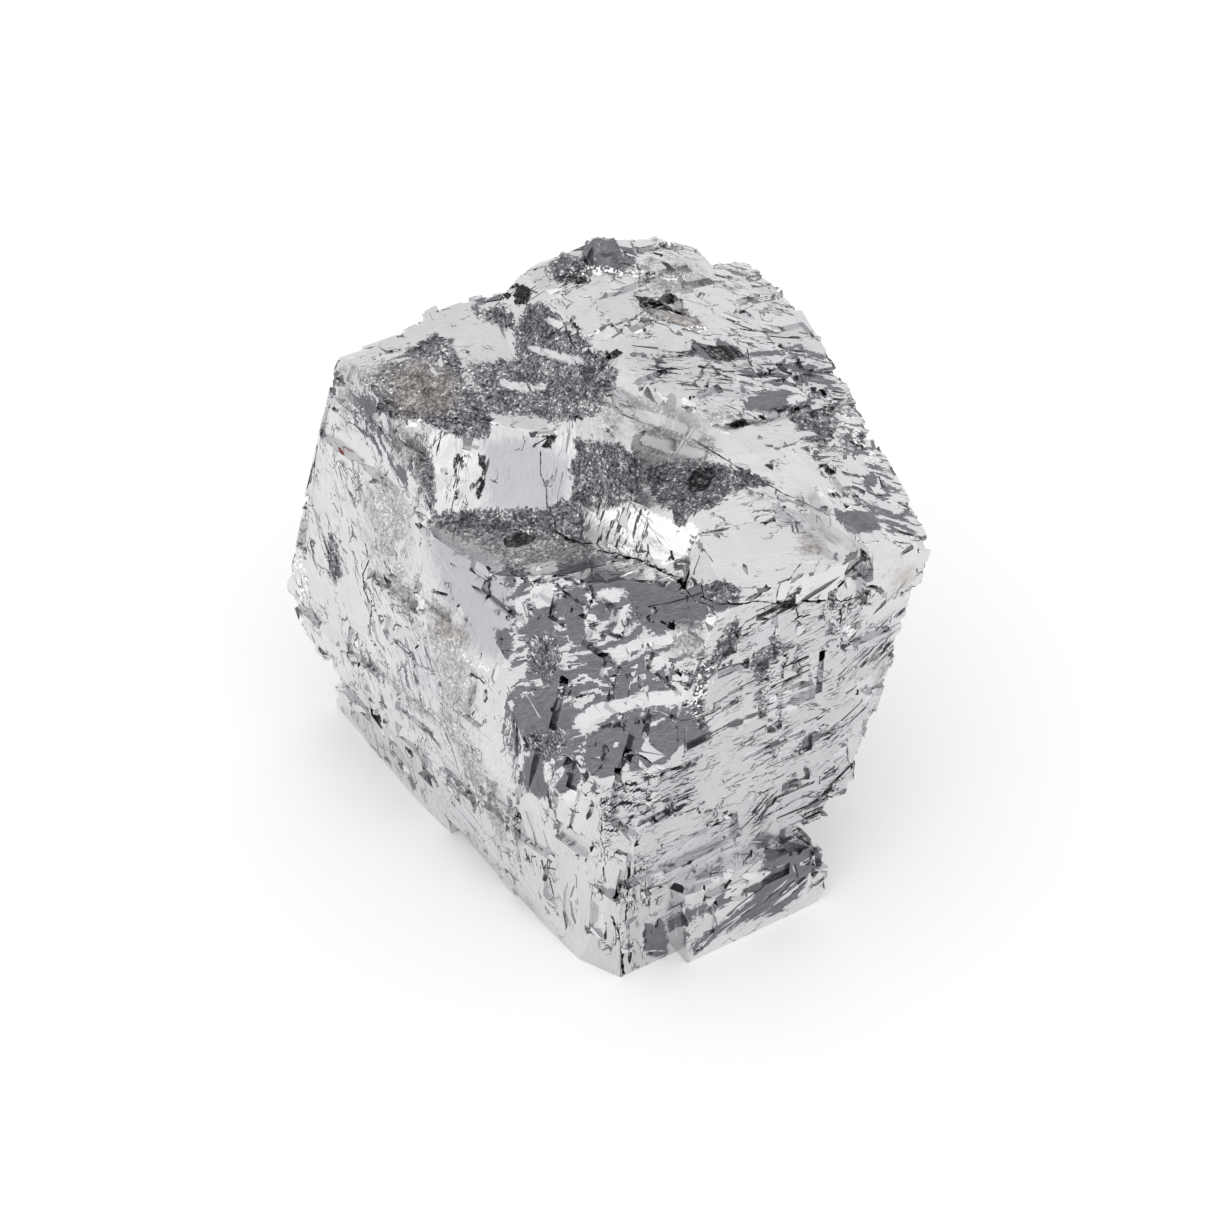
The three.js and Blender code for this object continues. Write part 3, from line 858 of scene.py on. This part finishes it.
def paintPlaneShades(lump, draw):
    shape = bmesh.new()
    shape.from_mesh(lump.data)
    region, areas, widths = planeRegions(shape)
    tones = draw.uniform(*paintedPlaneShades["wide"], len(areas))
    narrowness = (paintedPlaneShades["wideWidth"] - widths) / (paintedPlaneShades["wideWidth"] - paintedPlaneShades["narrowWidth"])
    # Painted shade: narrow faces, the sides of steps, are painted dark.
    isDark = draw.random(len(areas)) < np.clip(narrowness, 0, 1) * paintedPlaneShades["darkShare"]
    tones = np.where(isDark, draw.uniform(*paintedPlaneShades["dark"], len(areas)), tones)
    # Painted glint: a few narrow faces are painted brighter than the base colour.
    isPaintedGlint = narrowness > paintedPlaneShades["paintedGlintNarrowness"]
    isPaintedGlint &= draw.random(len(areas)) < paintedPlaneShades["paintedGlintShare"]
    tones = np.where(isPaintedGlint, paintedPlaneShades["paintedGlint"], tones)
    seeds = draw.uniform(0, paintedPlaneShades["seedReach"], len(areas))
    shadeLayer = shape.faces.layers.float.new("paintedPlaneShade")
    seedLayer = shape.faces.layers.float.new("planeSeed")
    middles = np.array([face.calc_center_median()[:] for face in shape.faces])
    isSoft = patchGaps(middles, np.array([face.normal[:] for face in shape.faces]))["soft"] < 0
    for face, soft in zip(shape.faces, isSoft):
        tone = tones[region[face.index]]
        face[shadeLayer] = 1 - (1 - tone) * paintedPlaneShades["softened"] if soft and tone < 1 else tone
        face[seedLayer] = seeds[region[face.index]]
    shape.to_mesh(lump.data)
    shape.free()
    print("cleavage faces:", len(areas), "of them dark", int(isDark.sum()))


def halveEdges(places, corners, edges, edgeOf, isHalved):
    # New points in the middle of the chosen edges. Each triangle is split by the edges it has halved, which
    # keeps the mesh closed. The last value names the triangle that each new one was part of.
    middles = np.full(len(edges), -1)
    middles[isHalved] = len(places) + np.arange(isHalved.sum())
    places = np.concatenate([places, places[edges[isHalved]].mean(axis=1)])
    onSides = middles[edgeOf]
    counts = (onSides >= 0).sum(axis=1)
    # The first corner is turned so that the halved sides come first.
    starts = np.where(counts == 1, np.argmax(onSides >= 0, axis=1), (np.argmin(onSides, axis=1) + 1) % 3)
    turned = (starts[:, None] + np.arange(3)) % 3
    a, b, c = np.take_along_axis(corners, turned, axis=1).T
    ab, bc, ca = np.take_along_axis(onSides, turned, axis=1).T
    triangles, parents = [], []
    splits = ([(a, b, c)], [(a, ab, c), (ab, b, c)], [(ab, b, bc), (a, ab, c), (ab, bc, c)],
              [(a, ab, ca), (ab, b, bc), (ca, bc, c), (ab, bc, ca)])
    for count, parts in enumerate(splits):
        chosen = np.flatnonzero(counts == count)
        for part in parts:
            triangles.append(np.stack(part, axis=1)[chosen])
            parents.append(chosen)
    return places, np.concatenate(triangles), np.concatenate(parents)


def partDoubledEdges(shape):
    # Where two diagonals fall on one edge, one of them gets a point of its own.
    for edge in [edge for edge in shape.edges if len(edge.link_faces) > 2]:
        first = max(edge.link_loops, key=lambda loop: loop.face.calc_area())
        others = [loop for loop in edge.link_loops if loop.vert is not first.vert]
        second = min(others, key=lambda loop: loop.face.calc_area())
        middle = shape.verts.new((edge.verts[0].co + edge.verts[1].co) / 2)
        for loop in (first, second):
            start, end, tip = loop.vert, loop.link_loop_next.vert, loop.link_loop_prev.vert
            shape.faces.new((start, middle, tip), loop.face)
            shape.faces.new((middle, end, tip), loop.face)
        bmesh.ops.delete(shape, geom=[first.face, second.face], context="FACES_ONLY")


def longAtPatches(places, corners, edges, lengths, across):
    # Long edges near a patch's outline, along which its gap doesn't run evenly.
    refine = lumpShape["refine"]
    normals = np.zeros_like(places)
    for corner in range(3):
        np.add.at(normals, corners[:, corner], across)
    normals = asUnits(normals)
    isLong = lengths > refine["shortest"] * mm
    ends = edges[isLong]
    atPoints = patchGaps(places, normals)
    atMiddles = patchGaps(places[ends].mean(axis=1), normals[ends].mean(axis=1))
    isNeeded = np.zeros(len(ends), bool)
    for kind, middle in atMiddles.items():
        first, second = atPoints[kind][ends].T
        error = np.abs(middle - (first + second) / 2)
        isNear = np.minimum(np.abs(middle), np.minimum(np.abs(first), np.abs(second))) < refine["near"]
        isNeeded |= (error > refine["error"]) & (isNear | ((first < 0) != (second < 0)))
    isLong[isLong] = isNeeded
    return isLong


def longAndSharp(edges, edgeOf, lengths, across):
    # Long edges between faces that look different ways.
    refine = lumpShape["refine"]
    facings, both = asUnits(across), np.zeros((len(edges), 3))
    for side in range(3):
        np.add.at(both, edgeOf[:, side], facings)
    likeness = (both ** 2).sum(axis=1) / 2 - 1
    return (lengths > refine["sharpLength"] * mm) & (likeness < refine["sharpTurn"])


def refineMesh(lump):
    # Long edges are halved near the patches' outlines, so that the patches have points to hold on to, and
    # along sharp edges, so that the waves bend them.
    refine = lumpShape["refine"]
    shape = bmesh.new()
    shape.from_mesh(lump.data)
    bmesh.ops.triangulate(shape, faces=shape.faces[:])
    partDoubledEdges(shape)
    shape.to_mesh(lump.data)
    shape.free()
    places, corners, _ = readMesh(lump.data)
    places, corners = places.astype(float), corners.reshape(-1, 3)
    kept = {name: readValues(lump.data.attributes[name].data, "value") for name in ("paintedPlaneShade", "planeSeed")}
    for turn in range(refine["rounds"] + refine["sharpRounds"]):
        pairs = np.sort(corners[:, [[0, 1], [1, 2], [2, 0]]].reshape(-1, 2), axis=1)
        edges, edgeOf = np.unique(pairs, axis=0, return_inverse=True)
        edgeOf = edgeOf.reshape(-1, 3)
        lengths = np.linalg.norm(places[edges[:, 0]] - places[edges[:, 1]], axis=1)
        a, b, c = places[corners].transpose(1, 0, 2)
        across = np.cross(b - a, c - a)
        if turn < refine["rounds"]:
            isHalved = longAtPatches(places, corners, edges, lengths, across)
        else:
            isHalved = longAndSharp(edges, edgeOf, lengths, across)
        places, corners, parents = halveEdges(places, corners, edges, edgeOf, isHalved)
        kept = {name: values[parents] for name, values in kept.items()}
    refined = bpy.data.meshes.new("galenaLump")
    refined.from_pydata(places.tolist(), [], corners.tolist())
    for name, values in kept.items():
        refined.attributes.new(name, "FLOAT", "FACE").data.foreach_set("value", values)
    lump.data = refined
    print("refined:", len(corners), "triangles")


def layCleavage(lump):
    # Coordinates in mm along and across the strokes of each cleavage face.
    mesh = lump.data
    places, corners, counts = readMesh(mesh)
    facings = readValues(mesh.polygons, "normal", 3).astype(float)
    runs = runDirections(readValues(mesh.polygons, "center", 3).astype(float), facings)
    sides = np.cross(facings, runs)
    seeds = readValues(mesh.attributes["planeSeed"].data, "value")
    face = np.repeat(np.arange(len(counts)), counts)
    spots = places.astype(float)[corners] / mm
    cleavage = [(spots * runs[face]).sum(axis=1), (spots * sides[face]).sum(axis=1), seeds[face]]
    layer = mesh.attributes.new("cleavage", "FLOAT_VECTOR", "CORNER")
    layer.data.foreach_set("vector", np.stack(cleavage, axis=1).ravel())


def bendFaces(lump):
    # Slow waves, because no edge or face of a broken lump is quite straight. The foot stays flat.
    waves = lumpShape["waves"]
    aboveFoot = lump.vertex_groups.new(name="aboveFoot")
    for vertex in lump.data.vertices:
        aboveFoot.add([vertex.index], min(1.0, max(0.0, vertex.co.z / (waves["foot"] * mm))), "REPLACE")
    clouds = bpy.data.textures.new("slowWaves", "CLOUDS")
    clouds.cloud_type = "COLOR"
    clouds.noise_scale = waves["size"] * mm
    chooseOnly(lump)
    bpy.ops.object.modifier_add(type="DISPLACE")
    step = lump.modifiers[-1]
    step.texture = clouds
    step.direction = "RGB_TO_XYZ"
    step.vertex_group = aboveFoot.name
    step.strength = waves["reach"] * mm
    step.mid_level = 0.5
    bpy.ops.object.modifier_apply(modifier=step.name)
    lump.vertex_groups.clear()


def layPatches(lump):
    mesh = lump.data
    normals = readValues(mesh.vertices, "normal", 3).astype(float)
    gaps = patchGaps(readMesh(mesh)[0].astype(float), normals)
    for kind, gap in gaps.items():
        mesh.attributes.new(kind + "Gap", "FLOAT", "POINT").data.foreach_set("value", gap)
    print("patches laid on")


def toLinear(colour):
    parts = [int(colour[k:k + 2], 16) / 255 for k in (0, 2, 4)]
    return [p / 12.92 if p <= 0.04045 else ((p + 0.055) / 1.055) ** 2.4 for p in parts] + [1.0]


def addNode(tree, kind, inputs=None, out=0, stops=(), **settings):
    node = tree.nodes.new("ShaderNode" + kind)
    for name, value in settings.items():
        setattr(node, name, value)
    for socket, value in (inputs or {}).items():
        if isinstance(value, bpy.types.NodeSocket):
            tree.links.new(value, node.inputs[socket])
        else:
            node.inputs[socket].default_value = value
    for index, (position, colour) in enumerate(stops):
        elements = node.color_ramp.elements
        element = elements[index] if index < 2 else elements.new(position)
        element.position, element.color = position, toLinear(colour)
    return node.outputs[out] if node.outputs else node


# The looks of the lump. Sizes are in mm, along the strokes and then across them, and 10 / 3 is three marks
# in ten mm. A range says where a noise begins to count, and where it counts in full.
finish = {
    "tones": {
        "shade": "e1e2e4",
        "busyShade": "f7f7f8",
        "hairline": "4c4b50",
        "rib": "5a5a5f",
        "tan": "d8cdc4",
        # painted highlight, also used for the painted glints
        "paintedHighlight": "ffffff",
        "rust": "8a4c3e",
    },
    "mottled": {"plane": ("e4e4e5", "d7d8da"), "paintedDarkReflection": ("626268", "88888d"), "dull": ("5f5d62", "939196")},
    "ramps": {
        "grain": [(0.22, "4a484c"), (0.45, "737176"), (0.62, "969498"), (0.78, "bebdbf"), (0.86, "f4f4f4")],
        "paleGrain": [(0.22, "757376"), (0.45, "9b999c"), (0.62, "bab9bb"), (0.78, "d2d2d2"),
                      (0.86, "f8f8f8")],
        "paintedPitShadeRamp": [(0.25, "1b1b1d"), (0.45, "2e2d30"), (0.65, "4c4b4f"), (0.84, "8a898c")],
        "strokes": [(0.5, "ffffff"), (0.503, "949497"), (0.515, "616065"), (0.54, "3a393d")],
        "fibres": [(0.5, "ffffff"), (0.505, "aeaeb0"), (0.53, "7b7b80")],
        "softStrokes": [(0.5, "ffffff"), (0.515, "d6d6d8"), (0.55, "bababd"), (0.6, "8f8f93")],
    },
    # How far each kind of patch strays from its outline, and how wide its edge is.
    "ragged": {"paintedDarkReflection": 0.7, "grainy": 0.9, "pale": 1.6, "lath": 2.4, "paintedPitShade": 0.35, "tan": 2.0,
               "bright": 0.5, "clear": 0.5, "red": 0.5, "busy": 3.0, "thick": 1.2, "quiet": 1.6, "soft": 2.5,
               "dull": 0.5, "paintedGlint": 0.8, "light": 0.4, "shade": 1.6},
    "raggedSize": (0.8, 0.3),
    "softEdged": ("tan", "busy", "thick", "quiet", "soft", "pale", "shade"),
    "softEdge": 0.5,
    "hardEdge": 0.04,
    "paleShare": 0.75,
    "tanShare": 0.75,
    # The strokes' own bends, in jumps, and their jagged sides.
    "bendSize": 3.4,
    "bendReach": (2.0, 1.6, 0.0),
    "bendStep": (0.3, 0.13, 1.0),
    "jagSize": 0.22,
    "jagReach": (0.09, 0.09, 0.0),
    # How the strokes crowd. Their limits are for no crowd and for the thickest one.
    "crowdSize": 10 / 3,
    "crowdRange": (0.36, 0.66),
    "crowdMost": 0.45,
    "crowdIn": {"busy": 0.235, "thick": 0.42, "soft": 0.22, "quiet": -0.5},
    "strokeSize": (2.6, 0.21),
    "strokeLimits": (0.22, 0.0),
    "fibreSize": (1.2, 0.085),
    "fibreLimits": (0.22, 0.06),
    "netSize": (2.4, 0.9),
    "netStep": (0.4, 0.4, 0.001),
    "netShiftSize": 10 / 9,
    "netShift": (1.2, 1.2, 0.0),
    "netApart": 3.0,
    "netRange": (0.022, 0.036),
    "netGateSize": 5 / 3,
    "netGateCrowd": 0.3,
    "netGateRange": (0.6, 0.68),
    "netMost": 0.85,
    "lathSize": (2.0, 0.42),
    "lathUneven": 0.9,
    "lathDark": 0.5,
    "grainSizes": (0.19, 0.11),
    "grainPatchSize": 10 / 7,
    "grainShares": (0.42, 0.38, 0.6),
    "grainLess": 0.2,
    "paintedGlintFrom": 0.74,
    "cloudSize": 6.0,
    "cloudRange": (0.3, 0.7),
    "mottleSize": (0.9, 0.12),
    "mottleRange": (0.45, 0.66),
    "mottleDark": 0.87,
    "speckleRange": (0.35, 0.65),
    "ribSize": (4.0, 5 / 13),
    "ribRange": (0.55, 0.58),
    "mirrorRoughness": 0.2,
    "tornRoughness": 0.55,
    "paleMetal": 0.5,
    "strokeRelief": 0.5,
    "lathRelief": -0.4,
    "reliefStrength": 0.6,
    "reliefDepth": 0.08,
}


def marksPerMm(size, apart=1.0):
    # Along the strokes and across them. The third value keeps the cleavage faces apart.
    return [1 / side for side in size] + [apart]


def bendStrokes(tree, inMm, cleavage):
    # The strokes run straight, shift sideways in small jumps and have jagged sides.
    half = (0.5, 0.5, 0.5)
    bend = addNode(tree, "TexNoise", {"Vector": inMm, "Scale": 1 / finish["bendSize"], "Detail": 2.0},
                   out="Color")
    bend = addNode(tree, "VectorMath", {0: bend, 1: half}, operation="SUBTRACT")
    bend = addNode(tree, "VectorMath", {0: bend, 1: finish["bendReach"]}, operation="MULTIPLY")
    bend = addNode(tree, "VectorMath", {0: bend, 1: finish["bendStep"]}, operation="SNAP")
    bend = addNode(tree, "VectorMath", {0: bend, 1: cleavage}, operation="ADD")
    jag = addNode(tree, "TexNoise", {"Vector": inMm, "Scale": 1 / finish["jagSize"], "Detail": 1.0},
                  out="Color")
    jag = addNode(tree, "VectorMath", {0: jag, 1: half}, operation="SUBTRACT")
    bent = addNode(tree, "VectorMath", {0: jag, 1: finish["jagReach"], 2: bend}, operation="MULTIPLY_ADD")
    return bend, bent


def maskPatches(tree, bent):
    # Every patch ends in small steps, not on a smooth line.
    edge = addNode(tree, "VectorMath", {0: bent, 1: marksPerMm(finish["raggedSize"])}, operation="MULTIPLY")
    edge = addNode(tree, "TexNoise", {"Vector": edge, "Scale": 1.0, "Detail": 4.0, "Roughness": 0.7})
    edge = addNode(tree, "Math", {0: edge, 1: 0.5}, operation="SUBTRACT")
    masks = {}
    for kind, amount in finish["ragged"].items():
        gap = addNode(tree, "Attribute", out="Fac", attribute_name=kind + "Gap")
        gap = addNode(tree, "Math", {0: edge, 1: amount * 2, 2: gap}, operation="MULTIPLY_ADD")
        width = finish["softEdge" if kind in finish["softEdged"] else "hardEdge"]
        masks[kind] = addNode(tree, "MapRange", {0: gap, 1: width, 2: -width, 3: 0.0, 4: 1.0})
    return masks


def crowdStrokes(tree, inMm, masks):
    # Where short steps crowd together, and where the mirrors are clean.
    low, high = finish["crowdRange"]
    crowd = addNode(tree, "TexNoise", {"Vector": inMm, "Scale": 1 / finish["crowdSize"], "Detail": 3.0})
    crowd = addNode(tree, "MapRange", {0: crowd, 1: low, 2: high, 3: 0.0, 4: finish["crowdMost"]})
    for kind, amount in finish["crowdIn"].items():
        crowd = addNode(tree, "Math", {0: masks[kind], 1: amount, 2: crowd}, operation="MULTIPLY_ADD",
                        use_clamp=kind == "quiet")
    return crowd


def drawStrokes(tree, bent, crowd, softMask):
    # Short steps: dark strokes along the cleavage, thick and thin, with finer fibres between them. They are
    # painted shade on the sides of the steps.
    stepShadeTones = []
    for kind, ramp in (("stroke", "strokes"), ("fibre", "fibres")):
        free, crowded = finish[kind + "Limits"]
        scale = marksPerMm(finish[kind + "Size"])
        field = addNode(tree, "VectorMath", {0: bent, 1: scale}, operation="MULTIPLY")
        field = addNode(tree, "TexNoise", {"Vector": field, "Scale": 1.0, "Detail": 4.0, "Roughness": 0.6})
        limit = addNode(tree, "MapRange", {0: crowd, 1: 0.0, 2: 1.0, 3: free, 4: crowded})
        field = addNode(tree, "Math", {0: field, 1: limit}, operation="SUBTRACT")
        dark, pale = (addNode(tree, "ValToRGB", {0: field}, stops=finish["ramps"][name])
                      for name in (ramp, "softStrokes"))
        stepShadeTones.append(addNode(tree, "Mix", {0: softMask, 6: dark, 7: pale}, out=2, data_type="RGBA"))
    return stepShadeTones


def drawHairlines(tree, inMm, cleavage, bend, crowd):
    # The joints of a net of stretched cells, shifted in small steps, and only here and there.
    shift = addNode(tree, "VectorMath", {0: cleavage, 1: finish["netStep"]}, operation="SNAP")
    shift = addNode(tree, "TexNoise", {"Vector": shift, "Scale": 1 / finish["netShiftSize"], "Detail": 1.0},
                    out="Color")
    shift = addNode(tree, "VectorMath", {0: shift, 1: finish["netShift"], 2: bend}, operation="MULTIPLY_ADD")
    scale = marksPerMm(finish["netSize"], finish["netApart"])
    net = addNode(tree, "VectorMath", {0: shift, 1: scale}, operation="MULTIPLY")
    net = addNode(tree, "TexVoronoi", {"Vector": net, "Scale": 1.0}, feature="DISTANCE_TO_EDGE")
    low, high = finish["netRange"]
    net = addNode(tree, "MapRange", {0: net, 1: low, 2: high, 3: 1.0, 4: 0.0})
    gate = addNode(tree, "TexNoise", {"Vector": inMm, "Scale": 1 / finish["netGateSize"], "Detail": 1.0})
    gate = addNode(tree, "Math", {0: crowd, 1: finish["netGateCrowd"], 2: gate}, operation="MULTIPLY_ADD")
    low, high = finish["netGateRange"]
    gate = addNode(tree, "MapRange", {0: gate, 1: low, 2: high, 3: 0.0, 4: finish["netMost"]})
    return addNode(tree, "Math", {0: net, 1: gate}, operation="MULTIPLY")


def drawLaths(tree, bent, mask):
    # Narrow strips along the cleavage, each turned its own way; those turned away are painted dark as shade.
    lath = addNode(tree, "VectorMath", {0: bent, 1: marksPerMm(finish["lathSize"])}, operation="MULTIPLY")
    lath = addNode(tree, "TexVoronoi", {"Vector": lath, "Scale": 1.0, "Randomness": finish["lathUneven"]},
                   out="Color", distance="CHEBYCHEV")
    lath = addNode(tree, "SeparateColor", {0: lath})
    lath = addNode(tree, "Math", {0: lath, 1: finish["lathDark"]}, operation="LESS_THAN")
    return addNode(tree, "Math", {0: lath, 1: mask}, operation="MULTIPLY")


def drawRibs(tree, bent, mask):
    # Ribs on the bright face, with painted highlight showing between them.
    low, high = finish["ribRange"]
    rib = addNode(tree, "VectorMath", {0: bent, 1: marksPerMm(finish["ribSize"])}, operation="MULTIPLY")
    rib = addNode(tree, "TexNoise", {"Vector": rib, "Scale": 1.0, "Detail": 3.0, "Roughness": 0.7})
    rib = addNode(tree, "MapRange", {0: rib, 1: low, 2: high, 3: 1.0, 4: 0.0})
    return addNode(tree, "Math", {0: mask, 1: rib}, operation="MULTIPLY")


def tornGrain(tree, inMm):
    # Tiny cube faces, most of them turned away: the grain is partly its own dark colour and partly painted
    # shade, and a few cells are painted bright as glints.
    parts = []
    for size in finish["grainSizes"]:
        cell = addNode(tree, "TexVoronoi", {"Vector": inMm, "Scale": 1 / size}, out="Color")
        parts.append(addNode(tree, "SeparateColor", {0: cell}))
    patchScale = 1 / finish["grainPatchSize"]
    parts.append(addNode(tree, "TexNoise", {"Vector": inMm, "Scale": patchScale, "Detail": 3.0}))
    grain = -finish["grainLess"]
    for part, share in zip(parts, finish["grainShares"]):
        grain = addNode(tree, "Math", {0: part, 1: share, 2: grain}, operation="MULTIPLY_ADD")
    return parts[0], grain


def makeGalena():
    # Galena, natural lead sulphide, broken by hand along its cube faces: lead-grey metallic mirrors, with
    # dark torn grain between them and fine steps painted black as shade where one cleavage gives way to the
    # next.
    material = bpy.data.materials.new("galenaCleaved")
    material.use_nodes = True
    tree = material.node_tree
    tree.nodes.clear()
    place = addNode(tree, "TexCoord", out="Object")
    inMm = addNode(tree, "VectorMath", {0: place, "Scale": 1 / mm}, operation="SCALE")
    cleavage = addNode(tree, "Attribute", out="Vector", attribute_name="cleavage")
    # The painted shade and glint of each cleavage face.
    paintedPlaneShade = addNode(tree, "Attribute", out="Fac", attribute_name="paintedPlaneShade")

    bend, bent = bendStrokes(tree, inMm, cleavage)
    masks = maskPatches(tree, bent)
    crowd = crowdStrokes(tree, inMm, masks)
    stepShadeTones = drawStrokes(tree, bent, crowd, masks["soft"])
    hairline = drawHairlines(tree, inMm, cleavage, bend, crowd)
    shadedLaths = drawLaths(tree, bent, masks["lath"])
    highlightBetweenRibs = drawRibs(tree, bent, masks["bright"])
    firstGrain, grain = tornGrain(tree, inMm)
    # Painted glints: the brightest grain cells in the glint patches are painted white.
    paintedGlintMask = addNode(tree, "Math", {0: firstGrain, 1: finish["paintedGlintFrom"]}, operation="GREATER_THAN")
    paintedGlintMask = addNode(tree, "Math", {0: paintedGlintMask, 1: masks["paintedGlint"]}, operation="MULTIPLY")
    paleMask = addNode(tree, "Math", {0: masks["pale"], 1: finish["paleShare"]}, operation="MULTIPLY")
    tanMask = addNode(tree, "Math", {0: masks["tan"], 1: finish["tanShare"]}, operation="MULTIPLY")

    clouds = addNode(tree, "TexNoise", {"Vector": bent, "Scale": 1 / finish["cloudSize"], "Detail": 6.0,
                                        "Roughness": 0.7})
    mottle = addNode(tree, "VectorMath", {0: bent, 1: marksPerMm(finish["mottleSize"])}, operation="MULTIPLY")
    mottle = addNode(tree, "TexNoise", {"Vector": mottle, "Scale": 1.0, "Detail": 6.0, "Roughness": 0.75})
    spread = {}
    for name, noise, last in (("cloud", clouds, (0.0, 1.0)), ("speckle", mottle, (0.0, 1.0)),
                              ("mottle", mottle, (1.0, finish["mottleDark"]))):
        low, high = finish[name + "Range"]
        spread[name] = addNode(tree, "MapRange", {0: noise, 1: low, 2: high, 3: last[0], 4: last[1]})
    paintedPlaneShade = addNode(tree, "Math", {0: paintedPlaneShade, 1: spread["mottle"]}, operation="MULTIPLY")
    paintedPlaneShade = addNode(tree, "CombineColor", {0: paintedPlaneShade, 1: paintedPlaneShade, 2: paintedPlaneShade})

    tones = {name: toLinear(colour) for name, colour in finish["tones"].items()}
    for name, share in (("plane", "cloud"), ("paintedDarkReflection", "speckle"), ("dull", "speckle")):
        first, second = (toLinear(colour) for colour in finish["mottled"][name])
        tones[name] = addNode(tree, "Mix", {0: spread[share], 6: first, 7: second}, out=2, data_type="RGBA")
    for name in ("grain", "paleGrain", "paintedPitShadeRamp"):
        tones[name] = addNode(tree, "ValToRGB", {0: grain}, stops=finish["ramps"][name])

    # The colours, from the widest face to the smallest mark.
    colour = tones["plane"]
    for way, mask, tone in (
            # Painted shade of each face, and painted shade on whole faces turned a little away.
            ("MULTIPLY", 1.0, paintedPlaneShade), ("MULTIPLY", masks["shade"], tones["shade"]),
            ("MULTIPLY", masks["busy"], tones["busyShade"]),
            # Painted shade on the sides of the steps.
            ("MULTIPLY", 1.0, stepShadeTones[0]), ("MULTIPLY", 1.0, stepShadeTones[1]),
            # Dark hairlines, and painted shade on the laths turned away.
            ("MIX", hairline, tones["hairline"]), ("MIX", shadedLaths, tones["paintedDarkReflection"]),
            # Painted dark reflection on flat faces, then the torn grain.
            ("MIX", masks["paintedDarkReflection"], tones["paintedDarkReflection"]), ("MIX", masks["grainy"], tones["grain"]),
            ("MIX", paleMask, tones["paleGrain"]), ("MIX", masks["dull"], tones["dull"]),
            ("MIX", masks["light"], tones["plane"]), ("MULTIPLY", tanMask, tones["tan"]),
            # The bright face: dark ribs, with painted highlight between them and where the face is whole.
            ("MIX", masks["bright"], tones["rib"]), ("MIX", highlightBetweenRibs, tones["paintedHighlight"]),
            ("MIX", masks["clear"], tones["paintedHighlight"]), ("MIX", masks["red"], tones["rust"]),
            # Painted shade in the pits, and painted glints on the grain.
            ("MIX", masks["paintedPitShade"], tones["paintedPitShadeRamp"]), ("MIX", paintedGlintMask, tones["paintedHighlight"])):
        colour = addNode(tree, "Mix", {0: mask, 6: colour, 7: tone}, out=2, data_type="RGBA", blend_type=way,
                         clamp_result=True)

    # Mirrors are nearly sharp, and torn grain scatters. In the pale places it is only half as metallic.
    torn = addNode(tree, "Math", {0: masks["grainy"], 1: masks["dull"]}, operation="MAXIMUM")
    torn = addNode(tree, "Math", {0: torn, 1: paleMask}, operation="MAXIMUM")
    roughness = addNode(tree, "MapRange", {0: torn, 1: 0.0, 2: 1.0, 3: finish["mirrorRoughness"],
                                           4: finish["tornRoughness"]})
    metal = addNode(tree, "MapRange", {0: paleMask, 1: 0.0, 2: finish["paleShare"], 3: 1.0,
                                       4: finish["paleMetal"]})

    # Relief: steps are cut in, grains stand up.
    relief = addNode(tree, "SeparateColor", {0: stepShadeTones[0]})
    grainRelief = addNode(tree, "Math", {0: firstGrain, 1: masks["grainy"]}, operation="MULTIPLY")
    relief = addNode(tree, "Math", {0: relief, 1: finish["strokeRelief"], 2: grainRelief},
                     operation="MULTIPLY_ADD")
    relief = addNode(tree, "Math", {0: shadedLaths, 1: finish["lathRelief"], 2: relief},
                     operation="MULTIPLY_ADD")
    normal = addNode(tree, "Bump", {"Strength": finish["reliefStrength"], "Height": relief,
                                    "Distance": finish["reliefDepth"] * mm}, out="Normal")
    shader = addNode(tree, "BsdfPrincipled", {"Base Color": colour, "Metallic": metal, "Roughness": roughness,
                                              "Normal": normal})
    addNode(tree, "OutputMaterial", {"Surface": shader})
    return material


# The table and the light: a pale sweep under a big soft box, in a white room.
studio = {
    "floorSize": 2.0,
    "floor": "fafafa",
    "floorDrop": 0.02,
    "room": "ffffff",
    "roomStrength": 1.0,
    "softBoxes": [
        {"name": "frontBox", "place": (-0.35, -0.55, 1.0), "size": 1.8, "watts": 3.8},
        {"name": "leftBox", "place": (-0.9, -0.3, 0.4), "size": 0.7, "watts": 0.2},
    ],
}


def makeStudio():
    bpy.ops.object.select_all(action="DESELECT")
    bpy.ops.mesh.primitive_plane_add(size=studio["floorSize"])
    floor = bpy.context.object
    floor.name = "studioFloor"
    floor.data.transform(Matrix.Translation((0, 0, -studio["floorDrop"] * mm)))
    board = bpy.data.materials.new("paintedBoard")  # matt white board, so the shadow stays soft
    board.use_nodes = True
    shader = board.node_tree.nodes["Principled BSDF"]
    shader.inputs["Base Color"].default_value = toLinear(studio["floor"])
    shader.inputs["Roughness"].default_value = 0.9
    floor.data.materials.append(board)
    room = bpy.data.worlds.new("whiteRoom")
    room.use_nodes = True
    room.node_tree.nodes["Background"].inputs["Color"].default_value = toLinear(studio["room"])
    room.node_tree.nodes["Background"].inputs["Strength"].default_value = studio["roomStrength"]
    bpy.context.scene.world = room
    for box in studio["softBoxes"]:
        bpy.ops.object.light_add(type="AREA", location=box["place"])
        light = bpy.context.object
        light.name = box["name"]
        light.data.size = box["size"]
        light.data.energy = box["watts"]
        light.rotation_euler = Vector(box["place"]).to_track_quat("Z", "Y").to_euler()
    print("studio lit")


models = modelPieces()
lump = makeLump()
paintPlaneShades(lump, np.random.default_rng(lumpShape["seed"] + 1))
refineMesh(lump)
layCleavage(lump)
bendFaces(lump)
layPatches(lump)
lump.data.materials.clear()
lump.data.materials.append(makeGalena())
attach(lump, "root")
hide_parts("galena")
makeStudio()
